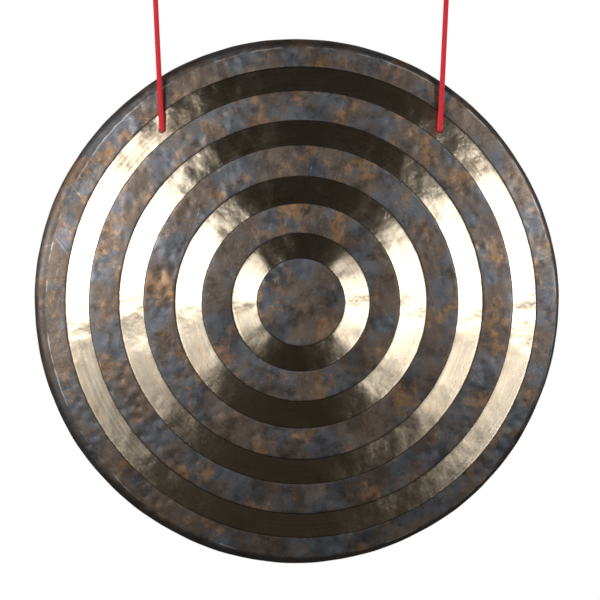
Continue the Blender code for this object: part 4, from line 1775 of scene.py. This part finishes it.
@dataclass
class Studio:
    """Floor, lamps, dark screen and flag, white surroundings and the camera."""

    centre: Vector
    camera_distance: float = 2.4
    frame_width: float = 0.6966
    aim_across: float = -0.0010
    aim_up: float = 0.0026
    rim_depth: float = 0.0139
    floor_height: float = -1.25
    floor_size: float = 9.0
    floor_middle: float = -1.9
    screen_radius: float = 4.0
    screen_segments: int = 48
    screen_rings: int = 24
    flag_size: float = 5.2
    flag_middle: float = -2.4
    flag_above_floor: float = 0.03
    dark: Color = (0.018, 0.014, 0.010)
    soft_light: float = 0.30
    softboxes: tuple[Softbox, ...] = (
        Softbox("left softbox", 163.0, 44.0, 1.9, 0.95, 1.30, 44.0, -73.0),
        Softbox("right softbox", 16.0, 46.0, 1.9, 0.95, 1.00, 28.0, 74.0),
    )

    def build_camera(self) -> None:
        """Add the camera, square on to the plate."""
        deselect_all()
        place = (self.aim_across, self.rim_depth - self.camera_distance, self.centre.z + self.aim_up)
        bpy.ops.object.camera_add(location=place, rotation=(math.pi / 2, 0.0, 0.0))
        camera = bpy.context.active_object
        camera.data.sensor_fit = "HORIZONTAL"
        camera.data.angle = 2 * math.atan(self.frame_width / 2 / self.camera_distance)
        bpy.context.scene.camera = camera

    def build_floor(self) -> None:
        """Add the pale floor under the hanging gong."""
        deselect_all()
        middle = (0.0, self.floor_middle, self.floor_height)
        bpy.ops.mesh.primitive_plane_add(size=self.floor_size, location=middle)
        floor = bpy.context.active_object
        floor.name = "studio_floor"
        bpy.ops.object.transform_apply(location=True, rotation=True, scale=True)
        floor.data.materials.append(StudioPaint("pale floor").build())

    def build_screen(self, paint: bpy.types.Material) -> None:
        """Add the dark half dome behind the camera that the bronze reflects.

        Args:
            paint: The screen's finish.
        """
        deselect_all()
        bpy.ops.mesh.primitive_uv_sphere_add(
            segments=self.screen_segments, ring_count=self.screen_rings, radius=self.screen_radius,
            location=self.centre,
        )
        screen = bpy.context.active_object
        screen.name = "dark_screen"
        bpy.ops.object.mode_set(mode="EDIT")
        bpy.ops.mesh.select_all(action="SELECT")
        bpy.ops.mesh.bisect(plane_co=self.centre, plane_no=(0.0, 1.0, 0.0), clear_outer=True)
        bpy.ops.mesh.select_all(action="SELECT")
        bpy.ops.mesh.flip_normals()
        bpy.ops.object.mode_set(mode="OBJECT")
        screen.data.materials.append(paint)
        self.show_in_metal_only(screen)

    def build_flag(self, paint: bpy.types.Material) -> None:
        """Add the dark flag that keeps the pale floor out of the bands' lower halves.

        Args:
            paint: The flag's finish.
        """
        deselect_all()
        middle = (0.0, self.flag_middle, self.floor_height + self.flag_above_floor)
        bpy.ops.mesh.primitive_plane_add(size=self.flag_size, location=middle)
        flag = bpy.context.active_object
        flag.name = "dark_flag"
        flag.data.materials.append(paint)
        self.show_in_metal_only(flag)

    @staticmethod
    def show_in_metal_only(piece: bpy.types.Object) -> None:
        """Let only reflections see a stage piece, which then neither shades nor lights anything.

        Args:
            piece: The stage piece.
        """
        piece.visible_camera = False
        piece.visible_shadow = False
        piece.visible_diffuse = False
        piece.visible_transmission = False

    def build_world(self) -> None:
        """Make the surroundings white where they are seen, and a soft grey light elsewhere."""
        world = bpy.data.worlds.new("studio")
        bpy.context.scene.world = world
        world.use_nodes = True
        shade = Shading(world.node_tree)
        rays = shade.add("LightPath")
        seen = shade.math("MAXIMUM", rays.outputs["Is Camera Ray"], rays.outputs["Is Glossy Ray"])
        seen = shade.math("MAXIMUM", seen, rays.outputs["Is Transmission Ray"])
        strength = shade.ramp(seen, 0.0, 1.0, self.soft_light, 1.0)
        background = world.node_tree.nodes["Background"]
        background.inputs["Color"].default_value = (1.0, 1.0, 1.0, 1.0)
        world.node_tree.links.new(strength, background.inputs["Strength"])

    def build(self) -> None:
        """Build the whole studio."""
        self.build_camera()
        self.build_floor()
        dark = StudioPaint("dark screen", color=self.dark).build()
        self.build_screen(dark)
        self.build_flag(dark)
        self.build_world()
        for softbox in self.softboxes:
            softbox.build(self.centre)
        bpy.context.scene.view_settings.view_transform = "Standard"


def main() -> None:
    """Build every piece in order."""
    logging.basicConfig(level=logging.INFO, format="%(name)s: %(message)s")
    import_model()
    plate = GongPlate()
    Studio(plate.centre()).build()
    braid = BraidedCord("red braid").build()
    cords = HungCords(plate)
    cords.build(braid)
    groups = Groups(plate.centre(), plate.bands)
    bronze = LathedBronze("lathed bronze", metallic=1.0, anisotropic=1.0).build(groups)
    patina = HammeredPatina("hammered patina", metallic=0.9).build(groups)
    plate.build(patina, bronze)
    steel = ZincWire("zinc wire", metallic=1.0).build()
    for side in Side:
        SHook(side, cords).build(steel)


if __name__ == "__main__":
    main()
